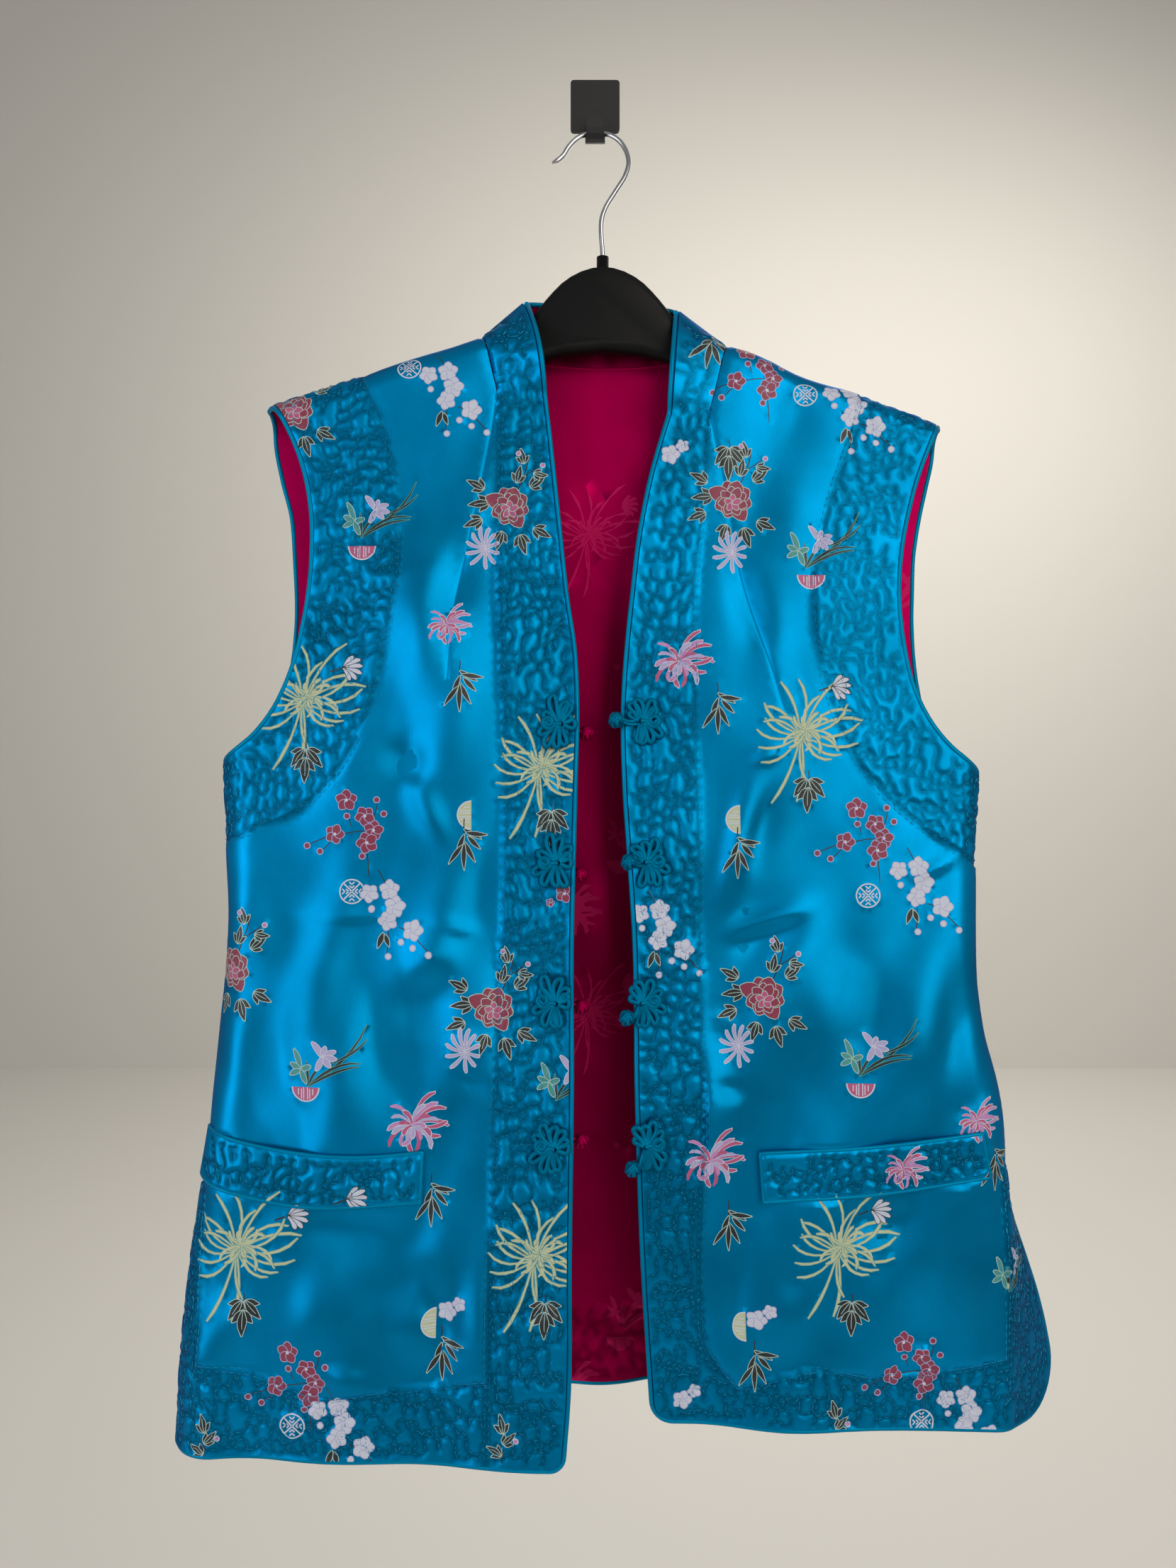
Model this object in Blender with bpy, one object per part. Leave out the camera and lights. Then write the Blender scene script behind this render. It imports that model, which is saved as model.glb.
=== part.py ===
"""A padded Chinese brocade waistcoat, open at the front, on a plastic hanger and a wall hook.

The origin is the centre of the wall plate's back face. +X is the viewer's right, +Y goes into the
wall, +Z is up. The right front is the wearer's right, at -X. All tables are in millimetres.

A panel is a flat outline in two numbers: out, the distance from the middle measured along the
cloth, and height. A surface function lays the flat panel on the garment's form, and lifts a point
off it along the cloth's normal, so shell, lining, piping, pockets and frogs all follow one form.
"""

import math
from collections import namedtuple

import bmesh
import bpy
import numpy as np
from mathutils import Vector, geometry

MM = 0.001

# The cloth's make-up
SHELL = 2.0
SEAM_GAP = 0.3
LINING_NEAR = SHELL + SEAM_GAP
LINING_FAR = LINING_NEAR + 1.0
QUILT_STEP = 10.0
QUILT_RISE = 1.0
PIPING_RADIUS = 1.5
PIPING_BEYOND = 1.95
ARMHOLE_BEYOND = 2.35
PIPING_DEPTH = 1.65
PIPING_TRIM = 0.25
PIPING_SLACK = 0.12

# Quilted borders
FRONT_BAND = 43.0
ARMHOLE_BAND = 50.0
HEM_BAND = 43.0
VENT_BAND = 44.0
VENT_TOP = -640.0
VENT_GAP = 8.0
VENT_EASE = 14.0
VENT_PIPING_TOP = -678.0

# The hanging form
RIDGE_Y = -21.0
ROLL = 14.0
FRONT_ROLL_ARC = 23.6
BACK_ROLL_ARC = 24.4
SEAM_Y = -16.0
SIDE_ROUND = 0.45
BACK_Y = -4.0
BACK_ROUND = 12.0
COLLAR_RUN = 54.0
COLLAR_TOP_Y = -22.0

# Mesh fineness
EDGE_STEP = 12.0
ARMHOLE_STEP = 7.0
NECK_STEP = 9.0
COARSE_ACROSS = 28.0
COARSE_DOWN = 46.0
TURN_SPACE = 4.8
OUTER_SPACE = 10.0
INNER_SPACE = 13.0
NORMAL_STEP = 0.5

Section = namedtuple("Section", "height fold_x seam_x front_y")
Spot = namedtuple("Spot", "out height")
Fold = namedtuple("Fold", "top_out top_height low_out low_height top_width low_width rise ends")
Fullness = namedtuple("Fullness", "out height radius rise")
Front = namedtuple(
    "Front",
    "side sections neck tip notch collar_top collar_lean opening armhole hem front_corner"
    " vent_corner welt_top welt_foot folds fullness frogs buttons",
)

RIGHT = Front(
    side=-1,
    sections=[
        Section(-800, 242, 235, -78),
        Section(-735, 239, 232, -76),
        Section(-671, 232, 226, -73),
        Section(-616, 223, 218, -70),
        Section(-575, 218.5, 214, -67),
        Section(-506, 215.5, 211, -62),
        Section(-437, 215.5, 211, -58),
        Section(-402, 218, 213, -56),
        Section(-250, 220, 215, -43),
        Section(-140, 222, 216, -36),
    ],
    neck=Spot(68, -150),
    tip=Spot(195, -192),
    notch=Spot(57, -188),
    collar_top=Spot(43, -129),
    collar_lean=(32.6, -58, -158),
    opening=[
        Spot(31, -188),
        Spot(28, -214),
        Spot(25, -242),
        Spot(22, -270),
        Spot(18, -307),
        Spot(13.5, -338),
        Spot(12, -370),
        Spot(13, -415),
        Spot(15, -500),
        Spot(15, -590),
        Spot(16, -673),
        Spot(17, -757),
        Spot(19, -781),
    ],
    armhole=[
        Spot(179, -204),
        Spot(169, -227),
        Spot(163, -255),
        Spot(162, -285),
        Spot(165.5, -320),
        Spot(173, -352),
        Spot(185, -377),
        Spot(196, -390),
        Spot(217, -402),
        Spot(247, -406),
    ],
    hem=[Spot(25, -787), Spot(130, -785.5), Spot(236, -783)],
    front_corner=6,
    vent_corner=20,
    welt_top=[Spot(220, -607), Spot(172, -617), Spot(116, -620), Spot(96, -618.5)],
    welt_foot=[Spot(97, -646), Spot(164, -647), Spot(226.5, -634)],
    folds=[
        Fold(195, -690, 190, -830, 14, 24, -7, "open"),
        Fold(100, -500, 95, -760, 20, 24, -4, "open"),
        Fold(40, -560, 30, -840, 28, 45, 6, "open"),
        Fold(150, -470, 140, -700, 25, 28, 4, "closed"),
        Fold(100, -250, 105, -370, 17, 20, 4, "closed"),
    ],
    fullness=[Fullness(84, -370, 55, 5)],
    frogs=[Spot(25.5, -381), Spot(27, -459), Spot(28, -537), Spot(28.7, -616)],
    buttons=[Spot(5, -385), Spot(9, -466), Spot(8, -540), Spot(8, -614)],
)

LEFT = Front(
    side=1,
    sections=[
        Section(-800, 235, 279, -50),
        Section(-726, 236, 267, -52),
        Section(-680, 237, 253, -54),
        Section(-634, 237, 238, -55),
        Section(-584, 232, 229, -55),
        Section(-547, 226, 222, -54),
        Section(-500, 222.5, 218, -53),
        Section(-460, 222.4, 217, -52),
        Section(-405, 226, 221, -50),
        Section(-250, 227, 222, -42),
        Section(-140, 228, 222, -36),
    ],
    neck=Spot(79.5, -156),
    tip=Spot(205, -203),
    notch=Spot(66, -199),
    collar_top=Spot(50, -134),
    collar_lean=(45.5, -58, -167),
    opening=[
        Spot(44.5, -199),
        Spot(34.5, -233),
        Spot(27, -270),
        Spot(22.5, -307),
        Spot(19.3, -338),
        Spot(17.3, -370),
        Spot(18, -415),
        Spot(21, -460),
        Spot(23.5, -500),
        Spot(25, -590),
        Spot(28, -680),
        Spot(32.5, -753),
        Spot(33.5, -767),
    ],
    armhole=[
        Spot(191, -221),
        Spot(185, -237),
        Spot(180, -255),
        Spot(176, -274),
        Spot(173.3, -301),
        Spot(175, -330),
        Spot(184, -367),
        Spot(193, -383),
        Spot(205, -396.5),
        Spot(227.8, -410),
        Spot(251, -414),
    ],
    hem=[Spot(45, -778), Spot(150, -780.5), Spot(262, -783)],
    front_corner=11,
    vent_corner=30,
    welt_top=[Spot(93, -623.5), Spot(156, -620), Spot(218, -612)],
    welt_foot=[Spot(223, -637), Spot(156, -647), Spot(95, -651)],
    folds=[
        Fold(110, -640, 107, -830, 24, 30, 8, "open"),
        Fold(65, -640, 68, -830, 18, 22, -4, "open"),
        Fold(190, -480, 195, -650, 25, 25, 3, "closed"),
        Fold(132, -235, 118, -400, 19, 20, 4, "closed"),
    ],
    fullness=[Fullness(100, -370, 55, 5)],
    frogs=[Spot(31.7, -379), Spot(33.9, -459), Spot(31.6, -538.5), Spot(33.9, -619)],
    buttons=[Spot(11.8, -378.7), Spot(18.7, -459), Spot(17.6, -546.5), Spot(20.8, -631)],
)

# The back, in one piece across: x is signed
BACK_ARMHOLE = {
    -1: [Spot(192, -212), Spot(188, -232), Spot(183, -252), Spot(181, -278), Spot(180, -317),
         Spot(184, -350), Spot(194, -380), Spot(208, -400), Spot(219.9, -406)],
    1: [Spot(203, -217), Spot(199, -236), Spot(195, -255), Spot(192, -275), Spot(191, -300),
        Spot(191, -325), Spot(194, -355), Spot(202, -385), Spot(214, -405), Spot(227.9, -414)],
}  # fmt: skip
BACK_HEM = [Spot(-214, -771), Spot(-40, -774), Spot(10, -778), Spot(40, -773), Spot(214, -771)]
BACK_CORNER = 14
BACK_VENT_X = {-1: [Spot(234, -800), Spot(222, -660)], 1: [Spot(235, -800), Spot(232, -660)]}
BACK_FOLDS = [
    Fold(-120, -520, -128, -800, 24, 30, -4, "open"),
    Fold(20, -560, 14, -800, 26, 34, 2, "open"),
    Fold(112, -540, 120, -800, 26, 30, -4, "open"),
    Fold(-60, -230, -84, -420, 26, 30, -3, "closed"),
    Fold(74, -230, 96, -420, 26, 30, -3, "closed"),
]
NECK_MIDDLE_X = 5.75
NECK_HALF = 73.7
NECK_DIP = -163.0
COLLAR_MIDDLE_X = 3.5
COLLAR_HALF = 46.5
COLLAR_DEPTH = 16.0
COLLAR_CROWN = 4.5
COLLAR_FLAT_HALF = 72.0
COLLAR_FLAT_HEIGHT = 36.0
COLLAR_SEAM = 1.2
COLLAR_SQUARE = 0.7

# Frogs and knots
FLOWER_ACROSS = 11.3
FLOWER_TALL = 12.8
FLOWER_PETALS = 8
FLOWER_POINTS = 36
FROG_LOW = 1.3
FROG_HIGH = 3.5
FROG_LIP = 0.9
FROG_CORD = 2.6
BALL_RADIUS = 4.7
BALL_LIFT = 5.5
BUTTON_CORD = 1.3
BUTTON_GAP = 0.4
BUTTON_REACH = 9.3
BUTTON_LIFT = 3.9
STEM_RADIUS = 1.3
RED_BALL_RADIUS = 4.5
RED_BALL_DEPTH = 8.6

# Hanger, its wire hook and the wall hook
HANGER_X = 4.4
HANGER_SEAT = LINING_FAR + 0.6
HANGER_TIP = 185.0
HANGER_CARRIES = 125.0
HANGER_NECK_CLEAR = 2.2
HANGER_ARM_HALF = 4.5
HANGER_HEAD_HALF = 7.5
HANGER_EDGE = 0.75
FERRULE_RADIUS = 3.6
FERRULE_TOP = -101.0
WIRE_RADIUS = 1.5
PLATE_WIDE = 30.0
PLATE_TALL = 32.0
PLATE_THICK = 2.0
PLATE_CORNER = 2.0

DOME = [(0, -107.5), (12.8, -110.2), (23.5, -116.5), (31, -124), (39, -133.5), (46, -143.5)]
DOME_UNDER = [(44, -165), (22, -160), (0, -158)]

# The wire's centre line, from the ferrule up and round to its free end
WIRE_ROUTE = [
    (4.4, -20.5, -100.7), (4.5, -19.5, -75), (5.9, -18.8, -71), (11.9, -16.5, -60),
    (18.5, -13.5, -47.6), (20.2, -11.8, -40), (18.6, -9.8, -31.6), (14.2, -8.4, -24.5),
    (8.7, -7.5, -20.7), (-0.3, -7, -19.6), (-6.6, -7, -20.3), (-11, -7.2, -22.8),
    (-16.5, -8, -28.9), (-19.3, -8.7, -33.8), (-22.6, -9.3, -37), (-25.9, -9.6, -38.8),
]  # fmt: skip

# The J tongue in side view: centre line from the plate round to the tip, with its width
TONGUE = [
    (-1.2, -12, 13), (-1.2, -18.5, 12.5), (-1.9, -21.4, 12), (-3.6, -23.2, 12),
    (-7, -23.9, 12), (-10, -23, 11.4), (-11.9, -20.4, 10.6), (-12.5, -16, 9.6),
    (-12.6, -11.5, 8.4), (-12.5, -9, 5),
]  # fmt: skip
TONGUE_THICK = 1.9


def smooth(places, knots, values):
    """Values at the places on a smooth line through the knots, level past both ends."""
    knots = np.asarray(knots, float)
    values = np.asarray(values, float)
    places = np.clip(places, knots[0], knots[-1])
    slopes = np.gradient(values, knots)
    low = np.clip(np.searchsorted(knots, places, side="right") - 1, 0, len(knots) - 2)
    width = knots[low + 1] - knots[low]
    t = (places - knots[low]) / width
    rise = (1 + 2 * t) * (1 - t) ** 2 * values[low] + t * (1 - t) ** 2 * width * slopes[low]
    fall = t * t * (3 - 2 * t) * values[low + 1] - t * t * (1 - t) * width * slopes[low + 1]
    return rise + fall


def resampled(line, step):
    """The same line with an even number of equal steps, smooth through its points."""
    line = np.asarray(line, float)
    run = np.concatenate([[0], np.cumsum(np.linalg.norm(np.diff(line, axis=0), axis=1))])
    count = 2 * max(1, round(run[-1] / step / 2))
    places = np.linspace(0, run[-1], count + 1)
    return np.stack([smooth(places, run, line[:, k]) for k in range(line.shape[1])], axis=1)


def corner_arc(start, corner, end, steps):
    """A round corner from start to end, drawn towards the corner point."""
    start, corner, end = (np.asarray(point, float) for point in (start, corner, end))
    turn = np.linspace(0, math.pi / 2, steps + 1)[:, None]
    return corner + (start - corner) * (1 - np.sin(turn)) + (end - corner) * (1 - np.cos(turn))


def distances(points, line):
    """The distance from each point to the nearest place on a line."""
    start = line[:-1]
    along = line[1:] - start
    reach = points[:, None] - start
    share = np.clip((reach * along).sum(2) / (along * along).sum(1), 0, 1)
    return np.linalg.norm(reach - share[..., None] * along, axis=2).min(axis=1)


def is_inside(points, outline):
    """Whether each point lies inside a closed outline."""
    x, y = points[:, 0, None], points[:, 1, None]
    x0, y0 = outline.T
    x1, y1 = np.roll(outline, -1, axis=0).T
    crosses = (y0 > y) != (y1 > y)
    rise = np.where(y1 == y0, 1, y1 - y0)
    left = x < x0 + (y - y0) * (x1 - x0) / rise
    return (crosses & left).sum(axis=1) % 2 == 1


def spaced(points, taken, least):
    """The points at least this far from those taken before and from each other."""
    kept = [tuple(point) for point in taken]
    fresh = []
    for point in points:
        near = np.reshape(kept, (-1, 2)) - point
        if len(kept) == 0 or (near * near).sum(axis=1).min() >= least * least:
            kept.append(tuple(point))
            fresh.append(tuple(point))
    return np.array(fresh).reshape(-1, 2)


def lattice(low, high, across, down):
    """A staggered lattice of points, with each one's row and column."""
    rows = np.arange(math.ceil(low[1] / down), math.floor(high[1] / down) + 1)
    columns = np.arange(math.ceil(low[0] / across), math.floor(high[0] / across) + 1)
    column, row = (grid.ravel() for grid in np.meshgrid(columns, rows))
    return np.stack([column * across, row * down], axis=1), column, row


def triangulated(outline, inside, loops=()):
    """Triangles of a flat outline through all the points; each loop is kept as edges."""
    count = len(outline)
    edges = [(i, (i + 1) % count) for i in range(count)]
    for loop in loops:
        edges += list(zip(loop, loop[1:] + loop[:1]))
    points = [Vector(point) for point in np.concatenate([outline, inside])]
    made = geometry.delaunay_2d_cdt(points, edges, [list(range(count))], 1, 1e-5)
    first = [origins[0] for origins in made[3]]
    return [[first[corner] for corner in face] for face in made[2]]


def drape(out, height, folds, fullness=()):
    """How far the cloth stands out of its plain form, from its folds and fullness."""
    total = np.zeros(np.shape(out))
    for fold in folds:
        top = np.array([fold.top_out, fold.top_height])
        line = np.array([fold.low_out, fold.low_height]) - top
        length = np.hypot(*line)
        share = ((out - top[0]) * line[0] + (height - top[1]) * line[1]) / length**2
        off = ((out - top[0]) * line[1] - (height - top[1]) * line[0]) / length
        t = np.clip(share, 0, 1)
        grown = t * t * (3 - 2 * t) if fold.ends == "open" else np.sin(math.pi * t) ** 2
        width = fold.top_width + (fold.low_width - fold.top_width) * t
        total = total + fold.rise * grown * np.exp(-0.5 * (off / width) ** 2)
    for place in fullness:
        squared = (out - place.out) ** 2 + (height - place.height) ** 2
        total = total + place.rise * np.exp(-0.5 * squared / place.radius**2 * 2)
    return total


def ridge_line(front, out):
    """The height of the shoulder's ridge at a distance from the middle."""
    slope = (front.tip.height - front.neck.height) / (front.tip.out - front.neck.out)
    return front.neck.height + slope * (out - front.neck.out)


def section_at(front, height):
    knots = [row.height for row in front.sections]
    return (smooth(height, knots, [row[k] for row in front.sections]) for k in (1, 2, 3))


def front_turn(front, height):
    """Where the front starts to turn back at the side, its radius, its angle and its length."""
    fold, seam, face = section_at(front, height)
    angle = np.arctan2(SEAM_Y - face, seam - fold)
    radius = SIDE_ROUND * (SEAM_Y - face)
    reach = radius * np.tan(angle / 2)
    start = fold - reach
    flat_seam = start + radius * angle + np.hypot(seam - fold, SEAM_Y - face) - reach
    return face, start, radius, angle, flat_seam


def over_shoulder(x, y, height, line, arc):
    """Rolls the cloth above the shoulder's turn over to the ridge."""
    bend = np.clip((height - (line - ROLL)) / arc, 0, 1.2) * math.pi / 2
    z = np.where(bend > 0, line - ROLL + ROLL * np.sin(bend), height)
    return np.stack([x, RIDGE_Y + (y - RIDGE_Y) * np.cos(bend), z], axis=-1)


def front_body(front, out, height):
    """The front's main form, without its collar."""
    face, start, radius, angle, _ = front_turn(front, height)
    turn = np.clip((out - start) / radius, 0, angle)
    past = np.maximum(out - start - radius * angle, 0)
    lift = drape(out, height, front.folds, front.fullness)
    x = np.minimum(out, start) + radius * np.sin(turn) + past * np.cos(angle)
    y = face + radius * (1 - np.cos(turn)) + past * np.sin(angle)
    x = x + lift * np.sin(turn)
    y = y - lift * np.cos(turn)
    rolled = over_shoulder(x, y, height, ridge_line(front, x), FRONT_ROLL_ARC)
    return rolled * (front.side, 1, 1)


def front_collar(front, out, height):
    """The grown-on collar: ruled from the neck seam to the edge that runs up round the neck."""
    tau = (height - front.notch.height) / COLLAR_RUN
    edge = front.opening[0].out
    sigma = ((out - edge) / (front.notch.out - edge))[..., None]
    neck_flat = ridge_line(front, front.neck.out) - ROLL + FRONT_ROLL_ARC
    seam_out = front.notch.out + (front.neck.out - front.notch.out) * tau
    seam = front_body(front, seam_out, front.notch.height + (neck_flat - front.notch.height) * tau)
    low = front_body(front, np.full(1, float(edge)), np.full(1, float(front.notch.height)))[0]
    lean = np.array(front.collar_lean) * (front.side, 1, 1)
    top = np.array([front.side * front.collar_top.out, COLLAR_TOP_Y, front.collar_top.height])
    t = tau[..., None]
    rim = low * (1 - t) ** 2 + lean * 2 * t * (1 - t) + top * t * t
    inward = rim - seam
    inward = inward / np.linalg.norm(inward, axis=-1, keepdims=True)
    seam = seam + inward * 0.45 * np.clip(t * 8, 0, 1)
    return rim + (seam - rim) * sigma


def lifted(point_at, flat, lift, facing):
    """Points of a surface moved out of it along its own normal."""
    first, second = flat.T
    step = NORMAL_STEP
    across = point_at(first + step, second) - point_at(first - step, second)
    up = point_at(first, second + step) - point_at(first, second - step)
    normal = np.cross(across, up) * facing
    return point_at(first, second), normal, np.reshape(lift, (-1, 1))


def moved(point, normal, lift):
    return point + normal / np.linalg.norm(normal, axis=1, keepdims=True) * lift


def front_surface(front):
    def surface(flat, lift):
        flat = np.asarray(flat, float)
        in_collar = (flat[:, 1] >= front.notch.height) & (flat[:, 0] <= front.notch.out + 0.5)

        def point_at(out, height):
            body = front_body(front, out, height)
            return np.where(in_collar[:, None], front_collar(front, out, height), body)

        point, normal, lift = lifted(point_at, flat, lift, front.side)
        top = front.notch.height + COLLAR_RUN - 1
        normal[in_collar & (flat[:, 1] > top), 1] = 0
        return moved(point, normal, lift)

    return surface


def back_side_x(side, height):
    """The x of the back's side edge: the front's seam, and inside it below the vent's top."""
    front = RIGHT if side < 0 else LEFT
    _, seam, _ = section_at(front, np.maximum(height, VENT_TOP))
    rows = BACK_VENT_X[side]
    free = smooth(height, [row.height for row in rows], [row.out for row in rows])
    share = np.clip((VENT_TOP - height) / 30, 0, 1)
    return seam + (free - seam) * share


def back_point(x_flat, height):
    out = np.abs(x_flat)
    left = x_flat > 0
    edge = np.where(left, back_side_x(1, height), back_side_x(-1, height))
    start = edge - BACK_ROUND
    turn = np.clip((out - start) / BACK_ROUND, 0, math.pi / 2)
    past = np.maximum(out - start - BACK_ROUND * math.pi / 2, 0)
    lift = drape(x_flat, height, BACK_FOLDS)
    x = np.minimum(out, start) + (BACK_ROUND + lift) * np.sin(turn)
    y = BACK_Y - BACK_ROUND + (BACK_ROUND + lift) * np.cos(turn) - past
    line = np.where(left, ridge_line(LEFT, x), ridge_line(RIGHT, x))
    return over_shoulder(x, y, height, line, BACK_ROLL_ARC) * np.stack(
        [np.where(left, 1.0, -1.0), np.ones_like(x), np.ones_like(x)], axis=-1
    )


def back_surface(flat, lift):
    return moved(*lifted(back_point, np.asarray(flat, float), lift, -1))


def back_seam_flat(side, height):
    return back_side_x(side, height) - BACK_ROUND + BACK_ROUND * math.pi / 2


def back_neck(t):
    """The back neck seam on the flat back, t from -1 at the right shoulder to 1 at the left."""
    ends = np.array([ridge_line(RIGHT, RIGHT.neck.out), ridge_line(LEFT, LEFT.neck.out)])
    ends = ends - ROLL + BACK_ROLL_ARC
    level = ends[0] + (ends[1] - ends[0]) * (t + 1) / 2
    dip = np.cos(math.pi * t / 2)
    return np.stack(
        [NECK_MIDDLE_X + NECK_HALF * np.sin(math.pi * t / 2), level + (NECK_DIP - level) * dip],
        axis=-1,
    )


def collar_point(run, rise):
    """The back collar: run is along the neck, rise from its seam to its top."""
    t = run / COLLAR_FLAT_HALF
    share = (rise / COLLAR_FLAT_HEIGHT)[..., None]
    flat = back_neck(t)
    seam = back_point(flat[..., 0], flat[..., 1])
    round_the_back = np.maximum(np.cos(math.pi * t / 2), 0) ** COLLAR_SQUARE
    ends = RIGHT.collar_top.height + (LEFT.collar_top.height - RIGHT.collar_top.height) * (t + 1) / 2
    top = np.stack(
        [
            COLLAR_MIDDLE_X + COLLAR_HALF * np.sin(math.pi * t / 2),
            COLLAR_TOP_Y + COLLAR_DEPTH * round_the_back,
            ends + COLLAR_CROWN * round_the_back,
        ],
        axis=-1,
    )
    return seam + (top - seam) * share


def collar_surface(flat, lift):
    flat = np.asarray(flat, float)
    point, normal, lift = lifted(collar_point, flat, lift, -1)
    normal[np.abs(flat[:, 0]) > COLLAR_FLAT_HALF - 1.5, 1] = 0
    return moved(point, normal, lift)


def material(name, colour, roughness, metallic=0.0, sheen=0.0):
    made = bpy.data.materials.new(name)
    made.use_nodes = True
    shader = made.node_tree.nodes["Principled BSDF"]
    shader.inputs["Base Color"].default_value = (*colour, 1)
    shader.inputs["Roughness"].default_value = roughness
    shader.inputs["Metallic"].default_value = metallic
    shader.inputs["Sheen Weight"].default_value = sheen
    return made


def add_mesh(name, points, faces, finish):
    """A closed body from points in millimetres, its faces turned outward."""
    mesh = bpy.data.meshes.new(name)
    mesh.from_pydata((np.asarray(points) * MM).tolist(), [], faces)
    body = bmesh.new()
    body.from_mesh(mesh)
    bmesh.ops.recalc_face_normals(body, faces=body.faces)
    if body.calc_volume(signed=True) < 0:
        bmesh.ops.reverse_faces(body, faces=body.faces)
    body.to_mesh(mesh)
    body.free()
    mesh.shade_smooth()
    mesh.set_sharp_from_angle(angle=math.radians(40))
    mesh.materials.append(finish)
    thing = bpy.data.objects.new(name, mesh)
    bpy.context.collection.objects.link(thing)
    return thing


def rim_edges(faces):
    """The edges that only one face uses, in that face's direction."""
    seen = {}
    for a, b, c in faces:
        for pair in ((a, b), (b, c), (c, a)):
            seen[frozenset(pair)] = None if frozenset(pair) in seen else pair
    return [pair for pair in seen.values() if pair]


def slab(name, surface, flat, faces, low, high, finish):
    """A wall of one triangulated flat shape, from its low lift to its high lift."""
    used = sorted({corner for face in faces for corner in face})
    place = {corner: k for k, corner in enumerate(used)}
    faces = [[place[corner] for corner in face] for face in faces]
    flat = flat[used]
    low, high = (lift if np.ndim(lift) == 0 else lift[used] for lift in (low, high))
    points = np.concatenate([surface(flat, low), surface(flat, high)])
    count = len(used)
    body = [face[::-1] for face in faces] + [[corner + count for corner in face] for face in faces]
    for a, b in rim_edges(faces):
        body += [[a, b, b + count], [a, b + count, a + count]]
    return add_mesh(name, points, body, finish)


def shell(name, surface, outline, outer, lifts, inner, loops, finish):
    """A padded wall: fine and quilted outside, plain and coarse inside. Returns its triangles."""
    outer_flat = np.concatenate([outline, outer])
    outer_faces = triangulated(outline, outer, loops)
    coarse = outline[::2]
    inner_flat = np.concatenate([coarse, inner])
    inner_faces = triangulated(coarse, inner)
    points = np.concatenate([surface(outer_flat, lifts), surface(inner_flat, -SHELL)])
    first = len(outer_flat)
    body = [list(face) for face in outer_faces]
    body += [[first + corner for corner in face[::-1]] for face in inner_faces]
    for k in range(len(coarse)):
        fine = [2 * k, 2 * k + 1, (2 * k + 2) % len(outline)]
        near = [first + k, first + (k + 1) % len(coarse)]
        body += [[fine[0], near[0], fine[1]], [fine[1], near[0], near[1]], [fine[1], near[1], fine[2]]]
    add_mesh(name, points, body, finish)
    return outer_flat, outer_faces, inner_flat, inner_faces


def front_lines(front):
    """The flat front's edges, in order round the panel from the hem's front corner."""
    notch, corner = front.notch, front.front_corner
    top = notch.height + COLLAR_RUN - SEAM_GAP
    opening = resampled(front.opening[::-1], EDGE_STEP)
    rim = resampled([front.opening[0], (front.opening[0].out, top)], EDGE_STEP)
    collar_end = resampled([(front.opening[0].out, top), (notch.out, top)], EDGE_STEP)
    slit = resampled([(notch.out, top), notch], EDGE_STEP)
    flat_top = ROLL - FRONT_ROLL_ARC + SEAM_GAP / 2
    neck_end = (front.neck.out, ridge_line(front, front.neck.out) - flat_top)
    neck = resampled([notch, neck_end], NECK_STEP)
    tip = front.tip.out - 2
    tip_end = (tip, ridge_line(front, tip) - flat_top)
    shoulder = resampled([neck_end, tip_end], EDGE_STEP)
    armhole = resampled([tip_end, *front.armhole], ARMHOLE_STEP)
    heights = np.linspace(front.armhole[-1].height, VENT_TOP, 21)
    side = np.stack([front_turn(front, heights)[4] - SEAM_GAP / 2, heights], axis=1)
    armhole[-1] = side[0]
    vent_end = front.hem[-1].height + front.vent_corner
    heights = np.linspace(VENT_TOP, vent_end, 13)
    vent = np.stack([front_turn(front, heights)[4] - SEAM_GAP / 2, heights], axis=1)
    hem = resampled(front.hem[::-1], EDGE_STEP)
    vent_point = (vent[-1, 0], hem[0, 1])
    hem_shift = np.linspace(vent[-1, 0] - front.vent_corner - hem[0, 0], 0, len(hem))
    hem[:, 0] += hem_shift
    arc = corner_arc(vent[-1], vent_point, hem[0], 4)
    front_arc = corner_arc(hem[-1], (opening[0, 0], hem[-1, 1]), opening[0], 4)
    return {
        "opening": opening,
        "rim": rim,
        "collar_end": collar_end,
        "slit": slit,
        "neck": neck,
        "shoulder": shoulder,
        "armhole": armhole,
        "side": resampled(side, EDGE_STEP),
        "vent": resampled(vent, EDGE_STEP),
        "vent_arc": arc,
        "hem": hem,
        "front_arc": front_arc,
    }


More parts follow.
